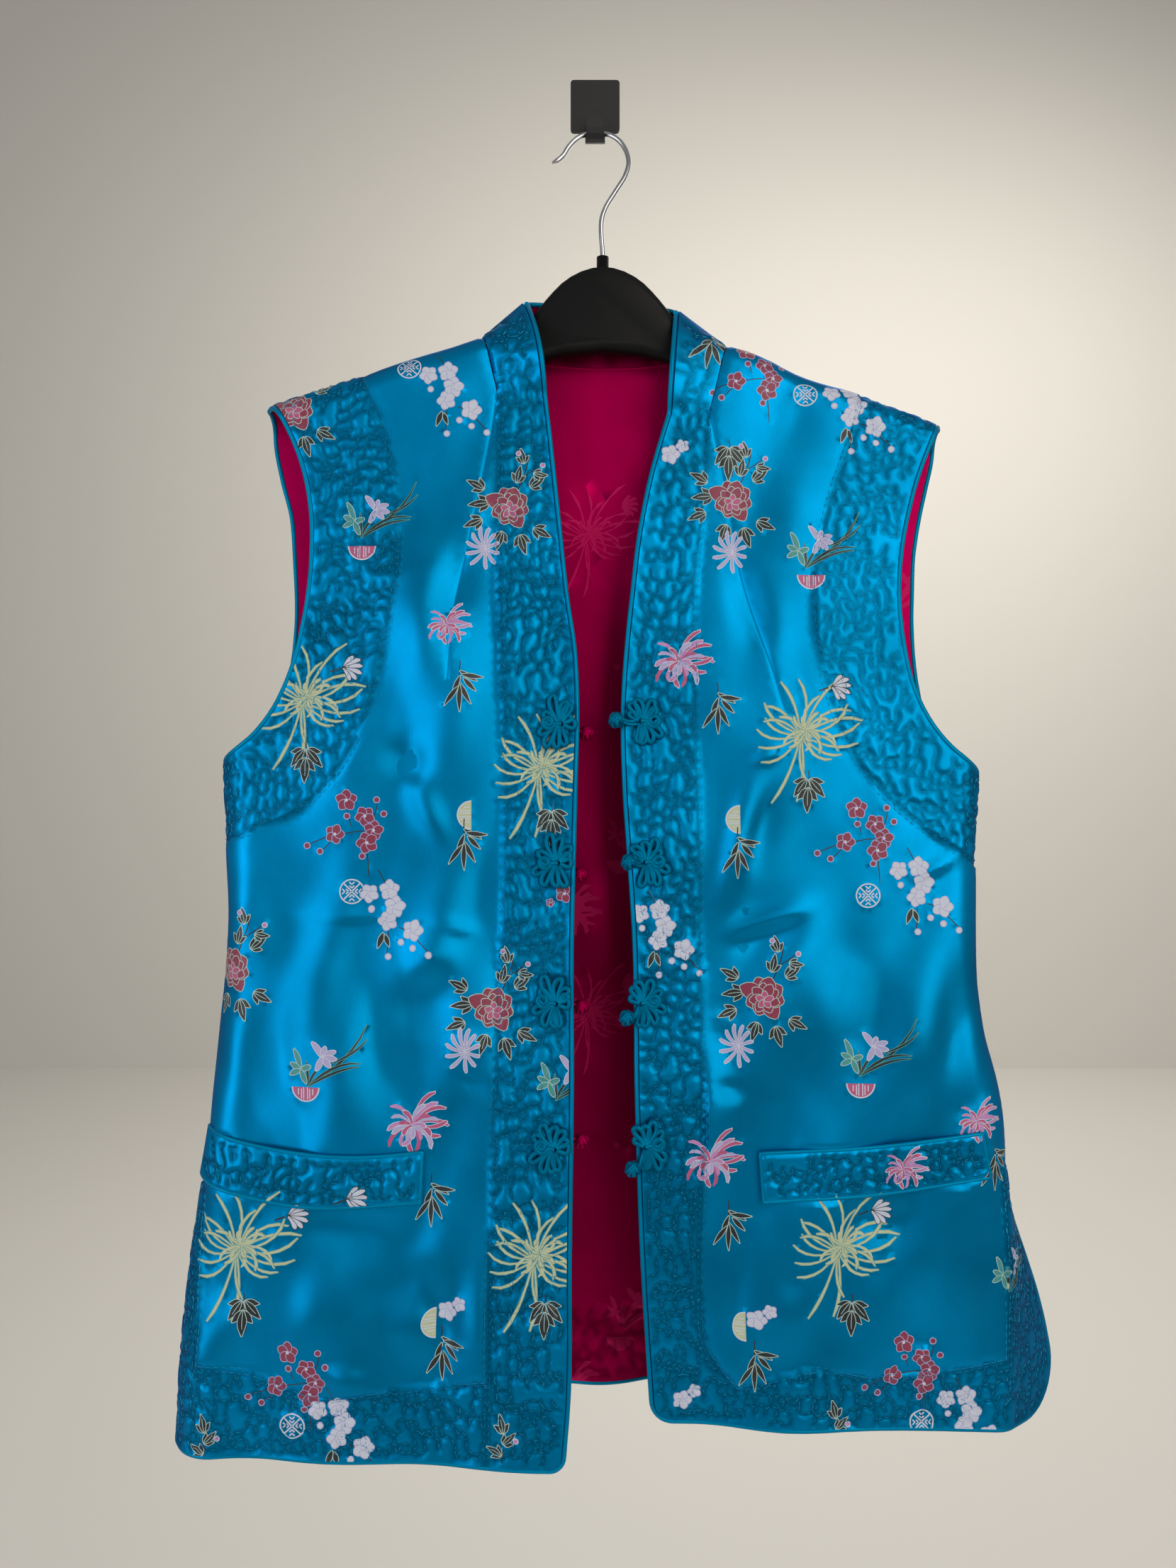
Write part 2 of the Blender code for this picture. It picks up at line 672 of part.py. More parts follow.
def back_lines():
    """The flat back's edges, in order round the panel from the right shoulder's neck point."""
    neck = resampled(back_neck(np.linspace(-1, 1, 33)), NECK_STEP)
    flat_top = ROLL - BACK_ROLL_ARC + SEAM_GAP / 2
    neck[0, 1] = ridge_line(RIGHT, RIGHT.neck.out) - flat_top
    neck[-1, 1] = ridge_line(LEFT, LEFT.neck.out) - flat_top
    lines = {"neck": neck}
    for side, front in ((1, LEFT), (-1, RIGHT)):
        tip = front.tip.out - 2
        tip_end = np.array([tip, ridge_line(front, tip) - flat_top])
        start = neck[-1] if side > 0 else neck[0]
        shoulder = resampled([(abs(start[0]), start[1]), tip_end], EDGE_STEP)
        armhole = resampled([tip_end, *BACK_ARMHOLE[side]], ARMHOLE_STEP)
        heights = np.linspace(BACK_ARMHOLE[side][-1].height, VENT_TOP, 21)
        seam = np.stack([back_seam_flat(side, heights) - SEAM_GAP / 2, heights], axis=1)
        armhole[-1] = seam[0]
        level = BACK_HEM[0].height
        heights = np.linspace(VENT_TOP, level + BACK_CORNER, 13)
        ease = VENT_GAP * np.clip((VENT_TOP - heights) / VENT_EASE, 0, 1)
        vent = np.stack([back_seam_flat(side, heights) - SEAM_GAP / 2 - ease, heights], axis=1)
        arc = corner_arc(vent[-1], (vent[-1, 0], level), (vent[-1, 0] - BACK_CORNER, level), 4)
        name = "left" if side > 0 else "right"
        parts = {
            "shoulder": shoulder,
            "armhole": armhole,
            "side": resampled(seam, EDGE_STEP),
            "vent": resampled(vent, EDGE_STEP),
            "arc": arc,
        }
        for part, line in parts.items():
            lines[f"{name}_{part}"] = line * (side, 1)
    hem = np.array(BACK_HEM, float)
    hem[0], hem[-1] = lines["right_arc"][-1], lines["left_arc"][-1]
    lines["hem"] = resampled(hem[::-1], EDGE_STEP)
    return lines


def joined(lines):
    """One open line from lines that follow on from each other."""
    return np.concatenate([lines[0]] + [line[1:] for line in lines[1:]])


def closed_outline(lines):
    return joined(lines)[:-1]


def coarse_points(outline, turns, fixed, least):
    """Points for the plain cloth: those that a turn needs, then a coarse lattice between."""
    grid, _, _ = lattice(outline.min(axis=0), outline.max(axis=0), COARSE_ACROSS, COARSE_DOWN)
    ring = np.concatenate([outline, outline[:1]])
    turns = turns[is_inside(turns, outline) & (distances(turns, ring) > TURN_SPACE)]
    turns = spaced(turns, fixed, TURN_SPACE)
    grid = grid[is_inside(grid, outline) & (distances(grid, ring) > least * 0.6)]
    return np.concatenate([turns, spaced(grid, np.concatenate([fixed, turns]), least)])


def turn_points(side, seam_flat_at, start_at, top_at, low_height, high_height, out_range):
    """Rows over the shoulder and columns down the side's turn, where the form bends most."""
    rows = [
        (out, top_at(out) - ROLL + rise)
        for rise in (-1, 6, 12, 18)
        for out in np.arange(out_range[0], out_range[1], 21)
    ]
    columns = [
        (start_at(height) + share * (seam_flat_at(height) - start_at(height)), height)
        for height in np.arange(low_height, high_height, 34)
        for share in (0.02, 0.28, 0.54, 0.8)
    ]
    return np.array(rows + columns) * (side, 1)


def quilted_points(outline, low, high, in_band, least):
    """Quilting lattice in the borders, each second point raised."""
    grid, column, row = lattice(low, high, QUILT_STEP, QUILT_STEP)
    keep = is_inside(grid, outline) & in_band(grid)
    keep &= distances(grid, np.concatenate([outline, outline[:1]])) > least
    raised = (column + row) % 2 == 0
    return grid[keep], np.where(raised, QUILT_RISE, 0.0)[keep]


def make_front(front, name, finishes):
    lines = front_lines(front)
    surface = front_surface(front)
    outline = closed_outline(list(lines.values()))
    low, high = outline.min(axis=0), outline.max(axis=0)
    opening = joined([lines["opening"], lines["rim"]])
    top, foot = front.welt_top, front.welt_foot
    corners = (top, [top[-1], foot[0]], foot, [foot[-1], top[0]])
    welt_line = closed_outline([resampled(line, EDGE_STEP) for line in corners])
    welt_grid, column, row = lattice(low, high, QUILT_STEP, QUILT_STEP)
    in_welt = is_inside(welt_grid, welt_line)
    in_welt &= distances(welt_grid, np.concatenate([welt_line, welt_line[:1]])) > 4
    welt_inside = welt_grid[in_welt]
    welt_raised = np.where((column + row) % 2 == 0, QUILT_RISE, 0.0)[in_welt]

    def in_band(points):
        near = distances(points, opening) < FRONT_BAND
        near |= distances(points, lines["armhole"]) < ARMHOLE_BAND
        near |= distances(points, lines["hem"]) < HEM_BAND
        near |= distances(points, lines["vent"]) < VENT_BAND
        near |= (points[:, 1] > front.notch.height) & (points[:, 0] < front.notch.out)
        far = distances(points, np.concatenate([welt_line, welt_line[:1]])) > 6
        return near & far & ~is_inside(points, welt_line)

    quilting, lifts = quilted_points(outline, low, high, in_band, 5)

    def seam_at(height):
        return front_turn(front, height)[4]

    def start_at(height):
        return front_turn(front, height)[1]

    turns = turn_points(
        1, seam_at, start_at, lambda out: ridge_line(front, out), -760, front.armhole[-1].height,
        (front.neck.out + 8, front.tip.out - 10),
    )  # fmt: skip
    fixed = np.concatenate([outline, welt_line, welt_inside, quilting])
    plain = coarse_points(outline, turns, fixed, OUTER_SPACE)
    plain = plain[~is_inside(plain, welt_line)]
    first = len(outline)
    loop = list(range(first, first + len(welt_line)))
    outer = np.concatenate([welt_line, welt_inside, quilting, plain])
    lift = np.zeros(first + len(outer))
    start = first + len(welt_line) + len(welt_inside)
    lift[start : start + len(quilting)] = lifts
    inner = coarse_points(outline, turns, outline[::2], INNER_SPACE)
    flat, faces, inner_flat, inner_faces = shell(
        f"{name}_front", surface, outline, outer, lift, inner, [loop], finishes["brocade"]
    )
    slab(
        f"lining_{name}_front", surface, inner_flat, inner_faces, -LINING_FAR, -LINING_NEAR,
        finishes["lining"],
    )  # fmt: skip
    middles = np.array([flat[face].mean(axis=0) for face in faces])
    welt_faces = [face for face, within in zip(faces, is_inside(middles, welt_line)) if within]
    top = np.full(len(flat), 2.1)
    top[first + len(welt_line) : start] += welt_raised
    slab(f"{name}_welt", surface, flat, welt_faces, SEAM_GAP, top, finishes["brocade"])
    edge = joined([lines[part][::-1] for part in ("rim", "opening", "front_arc", "hem", "vent_arc")])
    vent = lines["vent"][lines["vent"][:, 1] < VENT_PIPING_TOP][::-1]
    edge = np.concatenate([edge, vent])
    edge[0] += (edge[1] - edge[0]) * PIPING_TRIM
    piping(f"piping_{name}_edge", piping_route(surface, edge, front.side), finishes["piping"])
    return lines, surface


def piping_route(surface, line, turn, beyond=PIPING_BEYOND):
    """A line's points moved just past the cloth's edge, at half its depth."""
    edge = surface(line, 0)
    normal = surface(line, 1) - edge
    past = np.cross(np.gradient(edge, axis=0), normal) * turn
    past /= np.linalg.norm(past, axis=1, keepdims=True)
    return edge + past * beyond - normal * PIPING_DEPTH


def slimmed(points, tolerance):
    """The line with the points that it can do without left out."""
    if len(points) < 3:
        return points
    chord = points[-1] - points[0]
    length = max(np.linalg.norm(chord), 1e-6)
    share = np.clip(((points - points[0]) @ chord) / length**2, 0, 1)
    off = np.linalg.norm(points - points[0] - share[:, None] * chord, axis=1)
    worst = int(off.argmax())
    if off[worst] < tolerance:
        return points[[0, -1]]
    left = slimmed(points[: worst + 1], tolerance)
    return np.concatenate([left[:-1], slimmed(points[worst:], tolerance)])


def cord(name, points, radius, finish, swell=None, closed=False, sides=6):
    """A tube along points in millimetres; swell multiplies the radius at each."""
    curve = bpy.data.curves.new(name, "CURVE")
    curve.dimensions = "3D"
    curve.bevel_depth = radius * MM
    curve.bevel_resolution = (sides - 4) // 2
    curve.use_fill_caps = not closed
    spline = curve.splines.new("POLY")
    spline.points.add(len(points) - 1)
    for k, point in enumerate(points):
        spline.points[k].co = (*(np.asarray(point) * MM), 1)
        spline.points[k].radius = 1 if swell is None else swell[k]
    spline.use_cyclic_u = closed
    curve.materials.append(finish)
    thing = bpy.data.objects.new(name, curve)
    bpy.context.collection.objects.link(thing)
    return thing


def piping(name, route, finish, closed=False):
    return cord(name, slimmed(route, PIPING_SLACK), PIPING_RADIUS, finish, closed=closed)


def make_back(finishes):
    lines = back_lines()
    order = ["neck", "left_shoulder", "left_armhole", "left_side", "left_vent", "left_arc", "hem"]
    round_parts = [lines[part] for part in order]
    mirrored = ["right_arc", "right_vent", "right_side", "right_armhole", "right_shoulder"]
    round_parts += [lines[part][::-1] for part in mirrored]
    outline = closed_outline(round_parts)
    low, high = outline.min(axis=0), outline.max(axis=0)
    bands = [("left_armhole", ARMHOLE_BAND), ("right_armhole", ARMHOLE_BAND), ("hem", HEM_BAND)]
    bands += [("left_vent", VENT_BAND), ("right_vent", VENT_BAND)]

    def in_band(points):
        near = np.zeros(len(points), bool)
        for part, width in bands:
            near |= distances(points, lines[part]) < width
        return near

    quilting, lifts = quilted_points(outline, low, high, in_band, 5)
    turns = []
    for side, front in ((1, LEFT), (-1, RIGHT)):
        turns.append(
            turn_points(
                side,
                lambda height, side=side: back_seam_flat(side, height),
                lambda height, side=side: back_side_x(side, height) - BACK_ROUND,
                lambda out, front=front: ridge_line(front, out),
                -750,
                BACK_ARMHOLE[side][-1].height,
                (front.neck.out + 8, front.tip.out - 10),
            )
        )
    turns = np.concatenate(turns)
    plain = coarse_points(outline, turns, np.concatenate([outline, quilting]), OUTER_SPACE)
    outer = np.concatenate([quilting, plain])
    lift = np.concatenate([np.zeros(len(outline)), lifts, np.zeros(len(plain))])
    inner = coarse_points(outline, turns, outline[::2], INNER_SPACE)
    _, _, inner_flat, inner_faces = shell(
        "back", back_surface, outline, outer, lift, inner, [], finishes["brocade"]
    )
    slab(
        "lining_back", back_surface, inner_flat, inner_faces, -LINING_FAR, -LINING_NEAR,
        finishes["lining"],
    )  # fmt: skip
    parts = []
    for side in ("left", "right"):
        vent = lines[f"{side}_vent"]
        free = vent[vent[:, 1] < VENT_PIPING_TOP]
        parts.append(joined([free, lines[f"{side}_arc"]]))
    edge = joined([parts[0], lines["hem"], parts[1][::-1]])
    piping("piping_back_hem", piping_route(back_surface, edge, 1), finishes["piping"])
    return lines


def make_collar(finishes):
    half, height = COLLAR_FLAT_HALF - 0.8, COLLAR_FLAT_HEIGHT
    seam = COLLAR_SEAM
    corners = [(-half, seam), (half, seam), (half, height), (-half, height), (-half, seam)]
    sides = [resampled(corners[k : k + 2], NECK_STEP) for k in range(4)]
    outline = closed_outline(sides)
    low, high = outline.min(axis=0), outline.max(axis=0)
    quilting, lifts = quilted_points(outline, low, high, lambda points: points[:, 1] > 0, 5)
    lift = np.concatenate([np.zeros(len(outline)), lifts])
    inner = np.array([(run, height / 2) for run in np.linspace(-half, half, 9)[1:-1]])
    _, _, inner_flat, inner_faces = shell(
        "collar_back", collar_surface, outline, quilting, lift, inner, [], finishes["brocade"]
    )
    slab(
        "lining_collar", collar_surface, inner_flat, inner_faces, -LINING_FAR, -LINING_NEAR,
        finishes["lining"],
    )  # fmt: skip
    piping("piping_collar", piping_route(collar_surface, sides[2], -1, ARMHOLE_BEYOND), finishes["piping"])


def make_armhole_piping(front, name, lines, surface, back, finishes):
    """One loop of piping round the armhole, over the front and back panels' edges."""
    front_part = piping_route(surface, lines["armhole"][::-1], front.side, ARMHOLE_BEYOND)
    back_line = back[f"{name}_armhole"]
    back_part = piping_route(back_surface, back_line, front.side, ARMHOLE_BEYOND)
    route = np.concatenate([slimmed(front_part, PIPING_SLACK), slimmed(back_part, PIPING_SLACK)[1:-1]])
    cord(f"piping_{name}_armhole", route, PIPING_RADIUS, finishes["piping"], closed=True)


def flower(centre, reach, half_cord):
    """A frog's flat outline: petals round the centre and the cord that leaves it."""
    points = []
    for k in range(FLOWER_POINTS):
        turn = math.tau * k / FLOWER_POINTS
        petal = 1 + 0.1 * math.cos(FLOWER_PETALS * turn)
        x = -FLOWER_ACROSS * petal * math.cos(turn)
        y = FLOWER_TALL * petal * math.sin(turn)
        if x < 0 and abs(y) < half_cord + 1.5:
            continue
        points.append((x, y))
    low = [(-FLOWER_ACROSS * 0.95, -half_cord), (-reach + 1.5, -half_cord), (-reach, -half_cord * 0.5)]
    low = low if reach > FLOWER_ACROSS else [(-reach, -half_cord)]
    # The outline runs from the cord's upper side round the flower to its lower side.
    high = [(x, -y) for x, y in low[::-1]]
    return np.array(points + low + high) + centre


def make_frog(front, name, row, surface, finishes):
    centre = np.array(front.frogs[row])
    edge = float(smooth(centre[1], [spot.height for spot in front.opening[::-1]],
                        [spot.out for spot in front.opening[::-1]]))  # fmt: skip
    reach = centre[0] - edge - 0.5 if front.side < 0 else BUTTON_REACH
    outline = flower(centre, reach, FROG_CORD)
    rings = [centre]
    for share, points in ((0.38, 8), (0.72, 16)):
        for k in range(points):
            turn = math.tau * (k + 0.5) / points
            across, tall = -FLOWER_ACROSS * math.cos(turn), FLOWER_TALL * math.sin(turn)
            rings.append(centre + share * np.array([across, tall]))
    inside = np.array(rings)
    faces = triangulated(outline, inside)
    lift = np.concatenate([np.full(len(outline), FROG_HIGH - FROG_LIP), np.full(len(inside), FROG_HIGH)])
    lift[len(outline)] = FROG_HIGH - 0.7
    lift[len(outline) + 9 :: 2] = FROG_HIGH - 0.5
    flat = np.concatenate([outline, inside])
    slab(f"frog_{name}_{row + 1}", surface, flat, faces, FROG_LOW, lift, finishes["piping"])


def beads(ball, towards, radius):
    """Centres and radii of the rings of a ball at the end of a cord."""
    direction = (ball - towards) / np.linalg.norm(ball - towards)
    turns = [math.pi * (k + 0.5) / 6 for k in range(6)]
    rings = [ball - direction * radius * math.cos(turn) for turn in turns]
    return rings, [radius * math.sin(turn) for turn in turns]


def make_button(front, row, surface, finishes):
    """A ball knot on a short cord that leaves the left frog and passes the front edge."""
    centre, spot = front.frogs[row], front.buttons[row]
    root_out = centre.out - BUTTON_REACH - BUTTON_GAP
    root = surface(np.array([[root_out, centre.height]]), BUTTON_LIFT)[0]
    middle = np.array([[(root_out + spot.out) / 2 - 1, centre.height * 0.55 + spot.height * 0.45]])
    ball = surface(np.array([spot], float), BALL_LIFT)[0]
    stem = [root]
    if np.linalg.norm(ball - root) > BALL_RADIUS + 4:
        stem.append(surface(middle, BUTTON_LIFT + 0.4)[0])
    rings, radii = beads(ball, stem[-1], BALL_RADIUS)
    swell = [BUTTON_CORD] * len(stem) + radii
    cord(f"button_{row + 1}", [*stem, *rings], 1.0, finishes["piping"], swell, sides=8)


def make_lining_knot(front, row, surface, finishes):
    """A red ball knot of the lining side, on a stem sewn to the lining behind the edge."""
    spot = front.buttons[row]
    root = surface(np.array([[spot.out + 24, spot.height]]), -LINING_FAR - STEM_RADIUS - 0.4)[0]
    bend = surface(np.array([[spot.out + 9, spot.height]]), -LINING_FAR - STEM_RADIUS - 0.6)[0]
    ball = surface(np.array([[spot.out, spot.height]], float), -RED_BALL_DEPTH)[0]
    rings, radii = beads(ball, bend, RED_BALL_RADIUS)
    swell = [STEM_RADIUS] * 2 + radii
    cord(f"lining_knot_{row + 1}", [root, bend, *rings], 1.0, finishes["lining"], swell, sides=8)


def make_hanger(finishes):
    """The moulded hanger: one flat outline, thicker at its domed head, with rounded edges."""
    top = [(HANGER_X - across, height) for across, height in DOME[::-1]]
    top += [(HANGER_X + across, height) for across, height in DOME[1:]]
    top = [tuple(point) for point in resampled(top, 7)]
    under = [(HANGER_X - across, height) for across, height in DOME_UNDER]
    under += [(HANGER_X + across, height) for across, height in DOME_UNDER[-2::-1]]
    arms = []
    for front in (LEFT, RIGHT):
        tips = []
        for out in np.linspace(62, HANGER_TIP, 7):
            x = front.side * out + HANGER_X
            clear = HANGER_NECK_CLEAR * min(max((HANGER_CARRIES - out) / 50, 0), 1)
            level = ridge_line(front, abs(x)) - HANGER_SEAT - clear
            deep = 20 - 7 * (out - 62) / (HANGER_TIP - 62)
            tips.append((x, level, level - deep))
        arms.append(tips)
    left, right = arms
    outline = top + [(x, level) for x, level, _ in left]
    outline += [(x, deep) for x, _, deep in left[::-1]]
    outline += under[::-1]
    outline += [(x, deep) for x, _, deep in right] + [(x, level) for x, level, _ in right[::-1]]
    flat = np.array(outline)
    along = np.roll(flat, -1, axis=0) - np.roll(flat, 1, axis=0)
    along /= np.linalg.norm(along, axis=1, keepdims=True)
    inward = np.stack([along[:, 1], -along[:, 0]], axis=1)
    share = np.clip((np.abs(flat[:, 0] - HANGER_X) - 30) / 14, 0, 1)
    half = HANGER_HEAD_HALF + (HANGER_ARM_HALF - HANGER_HEAD_HALF) * share
    points = []
    for face in (-1, 1):
        for turn in (90, 45, 0)[::-face]:
            edge = HANGER_EDGE * half
            ring = flat + inward * (edge * (1 - math.cos(math.radians(turn))))[:, None]
            depth = half - edge * (1 - math.sin(math.radians(turn)))
            points += [(x, RIDGE_Y + face * y, z) for (x, z), y in zip(ring, depth)]
    count = len(flat)
    faces = [list(range(count)), list(range(6 * count - 1, 5 * count - 1, -1))]
    for layer in range(5):
        for k in range(count):
            a, b = layer * count + k, layer * count + (k + 1) % count
            faces.append([a, b, b + count, a + count])
    hanger = add_mesh("hanger", points, faces, finishes["plastic"])
    length = FERRULE_TOP - DOME[0][1] + 3
    bpy.ops.mesh.primitive_cylinder_add(
        vertices=16, radius=FERRULE_RADIUS * MM, depth=length * MM,
        location=(HANGER_X * MM, -20.5 * MM, (FERRULE_TOP - length / 2) * MM),
    )  # fmt: skip
    ferrule = bpy.context.active_object
    ferrule.name = "ferrule_cutter"
    ferrule.hide_render = True
    ferrule.display_type = "WIRE"
    union = hanger.modifiers.new("ferrule", "BOOLEAN")
    union.operation = "UNION"
    union.object = ferrule


def make_wire(finishes):
    route = resampled(WIRE_ROUTE, 5)
    swell = np.ones(len(route))
    swell[-2:] = 1.25, 1.05
    cord("wire_hook", route, WIRE_RADIUS, finishes["chrome"], swell, sides=8)


def make_wall_hook(finishes):
    """An adhesive plate with a J tongue that grows from its lower half."""
    half_wide, half_tall = PLATE_WIDE / 2, PLATE_TALL / 2
    outline = []
    for x_sign, z_sign, first in ((1, 1, 0), (-1, 1, 1), (-1, -1, 2), (1, -1, 3)):
        for k in range(4):
            turn = (first + k / 3) * math.pi / 2
            x = x_sign * (half_wide - PLATE_CORNER) + PLATE_CORNER * math.cos(turn)
            z = z_sign * (half_tall - PLATE_CORNER) + PLATE_CORNER * math.sin(turn)
            outline.append((x, z))
    count = len(outline)
    points = [(x, y, z) for y in (0, -PLATE_THICK) for x, z in outline]
    faces = [list(range(count)), list(range(2 * count - 1, count - 1, -1))]
    faces += [[k, k + count, (k + 1) % count + count, (k + 1) % count] for k in range(count)]
    plate = add_mesh("wall_hook", points, faces, finishes["hook"])
    route = resampled(TONGUE, 3)
    along = np.gradient(route[:, :2], axis=0)
    along /= np.linalg.norm(along, axis=1, keepdims=True)
    side = np.stack([along[:, 1], -along[:, 0]], axis=1) * TONGUE_THICK / 2
    rings = []
    for (y, z, wide), (dy, dz) in zip(route, side):
        for x_sign, depth in ((-1, -1), (1, -1), (1, 1), (-1, 1)):
            rings.append((x_sign * wide / 2, y + depth * dy, z + depth * dz))
    faces = [[0, 1, 2, 3], [len(rings) - 1 - k for k in range(4)]]
    for k in range(len(route) - 1):
        for corner in range(4):
            a, b = 4 * k + corner, 4 * k + (corner + 1) % 4
            faces.append([a, b, b + 4, a + 4])
    tongue = add_mesh("tongue_cutter", rings, faces, finishes["hook"])
    tongue.hide_render = True
    tongue.display_type = "WIRE"
    union = plate.modifiers.new("tongue", "BOOLEAN")
    union.operation = "UNION"
    union.object = tongue


def build():
    for thing in list(bpy.data.objects):
        bpy.data.objects.remove(thing)
    finishes = {
        "brocade": material("turquoise satin brocade", (0.0, 0.235, 0.46), 0.42, sheen=0.3),
        "lining": material("crimson satin lining", (0.33, 0.0, 0.03), 0.4, sheen=0.2),
        "piping": material("turquoise satin piping", (0.0, 0.25, 0.48), 0.38, sheen=0.3),
        "plastic": material("black moulded plastic", (0.013, 0.014, 0.015), 0.55),
        "chrome": material("chromed steel wire", (0.55, 0.55, 0.56), 0.15, metallic=1.0),
        "hook": material("black painted metal", (0.006, 0.006, 0.007), 0.5),
    }
    back = make_back(finishes)
    make_collar(finishes)
    for front, name in ((RIGHT, "right"), (LEFT, "left")):
        lines, surface = make_front(front, name, finishes)
        make_armhole_piping(front, name, lines, surface, back, finishes)
        for row in range(len(front.frogs)):
            make_frog(front, name, row, surface, finishes)
            if front.side < 0:
                make_lining_knot(front, row, surface, finishes)
            else:
                make_button(front, row, surface, finishes)
    make_hanger(finishes)
    make_wire(finishes)
    make_wall_hook(finishes)


build()
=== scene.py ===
"""The looks of a padded Chinese brocade waistcoat, open at the front, on a hanger and a wall hook.

Cloth is laid as on the maker's table: a panel is a flat outline in two numbers, out (millimetres
from the middle, along the cloth) and height, and a surface function hangs it on its form.
"""

import math
from collections import namedtuple

import bmesh
import bpy
import numpy as np
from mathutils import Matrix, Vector, geometry, kdtree, noise


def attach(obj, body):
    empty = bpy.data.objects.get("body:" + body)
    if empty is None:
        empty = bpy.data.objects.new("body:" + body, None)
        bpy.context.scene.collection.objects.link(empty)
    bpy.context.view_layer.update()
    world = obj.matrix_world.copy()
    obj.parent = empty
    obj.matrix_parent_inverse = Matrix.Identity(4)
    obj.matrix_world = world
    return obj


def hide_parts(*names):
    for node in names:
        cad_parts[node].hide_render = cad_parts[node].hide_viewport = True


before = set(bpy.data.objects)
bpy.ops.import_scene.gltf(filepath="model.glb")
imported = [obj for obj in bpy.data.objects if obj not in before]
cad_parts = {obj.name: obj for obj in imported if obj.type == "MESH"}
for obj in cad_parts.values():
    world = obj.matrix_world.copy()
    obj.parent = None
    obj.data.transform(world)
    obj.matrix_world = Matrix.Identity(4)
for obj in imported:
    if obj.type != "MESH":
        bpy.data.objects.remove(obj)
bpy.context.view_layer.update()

# The room. The camera stands level with the garment's waist, just left of its middle. The floor
# is pale and plain, and soft daylight comes from high on the right, as through a large window.
MM = 0.001
CAMERA_PLACE = (-4.35, -722.0, -414.6)
PICTURE_TALL = 2212
FOCAL_PIXELS = 1661
SENSOR = 36.0
FLOOR_HEIGHT = -1700.0


def linear(code):
    """An sRGB hex colour as linear red, green, blue and alpha."""
    parts = [int(code[k : k + 2], 16) / 255 for k in (1, 3, 5)]
    return (*(c / 12.92 if c <= 0.04045 else ((c + 0.055) / 1.055) ** 2.4 for c in parts), 1)


def new_finish(name):
    """A material of that name, with its node tree and its shader."""
    finish = bpy.data.materials.new(name)
    finish.use_nodes = True
    return finish, finish.node_tree, finish.node_tree.nodes["Principled BSDF"]


def add(tree, kind, inputs=(), **settings):
    """Adds a node; inputs maps a socket's name or number to a value or to another node's output."""
    made = tree.nodes.new(kind)
    for key, value in settings.items():
        setattr(made, key, value)
    for key, value in dict(inputs).items():
        if isinstance(value, bpy.types.NodeSocket):
            tree.links.new(value, made.inputs[key])
        else:
            made.inputs[key].default_value = value
    return made


def set_shader(tree, shader, values):
    """Sets the shader's own sockets, from a number, a colour or another node's output."""
    for key, value in values.items():
        if isinstance(value, bpy.types.NodeSocket):
            tree.links.new(value, shader.inputs[key])
        else:
            shader.inputs[key].default_value = value


camera = bpy.data.objects.new("camera", bpy.data.cameras.new("camera"))
camera.location = Vector(CAMERA_PLACE) * MM
camera.rotation_euler = (math.pi / 2, 0, 0)
camera.data.sensor_width = SENSOR
camera.data.lens = SENSOR * FOCAL_PIXELS / PICTURE_TALL
camera.data.clip_start = 0.01
bpy.context.collection.objects.link(camera)
bpy.context.scene.camera = camera
bpy.context.scene.view_settings.view_transform = "Standard"

world = bpy.data.worlds.new("soft daylight")
world.use_nodes = True
world.node_tree.nodes["Background"].inputs[0].default_value = linear("#DCDAD6")
world.node_tree.nodes["Background"].inputs[1].default_value = 0.4
bpy.context.scene.world = world


def window(name, place, look_at, wide, tall, power, colour):
    """A large soft area light that faces a place, all in metres."""
    light = bpy.data.lights.new(name, "AREA")
    light.shape = "RECTANGLE"
    light.size, light.size_y = wide, tall
    light.energy = power
    light.color = linear(colour)[:3]
    lamp = bpy.data.objects.new(name, light)
    lamp.location = place
    lamp.rotation_euler = (Vector(look_at) - Vector(place)).to_track_quat("-Z", "Y").to_euler()
    bpy.context.collection.objects.link(lamp)


window("window", (0.9, -1.5, 0.1), (0, 0, -0.6), 1.2, 2.0, 19, "#FFF8EE")
window("sky_fill", (-1.3, -1.35, -0.35), (0, 0, -0.6), 0.9, 1.7, 13, "#F4F7FF")
window("rear_fill", (0.4, 1.9, 0.7), (0, 0, -0.45), 2.0, 1.4, 14, "#F6F4F0")
window("wall_wash", (1.1, 2.1, 1.9), (0.5, 4.5, -0.6), 3.6, 1.2, 92, "#FDF7EC")

bpy.ops.mesh.primitive_plane_add(size=14, location=(0, 0, FLOOR_HEIGHT * MM))
floor = bpy.context.object
floor.name = "floor"
bpy.ops.mesh.primitive_plane_add(size=14, location=(0, 4.6, 4.0), rotation=(math.pi / 2, 0, 0))
backdrop = bpy.context.object
backdrop.name = "backdrop"
floor_paint, tree, shader = new_finish("pale matt floor paint")
grain = add(tree, "ShaderNodeTexNoise", {"Scale": 3.0, "Detail": 4.0})
shade = add(tree, "ShaderNodeMix", {"Factor": grain.outputs["Fac"]}, data_type="RGBA")
shade.inputs["A"].default_value = linear("#D8D6D1")
shade.inputs["B"].default_value = linear("#DEDCD8")
set_shader(tree, shader, {"Base Color": shade.outputs["Result"], "Roughness": 0.8})
for stage_piece in (floor, backdrop):
    stage_piece.data.materials.append(floor_paint)
bpy.ops.object.select_all(action="DESELECT")

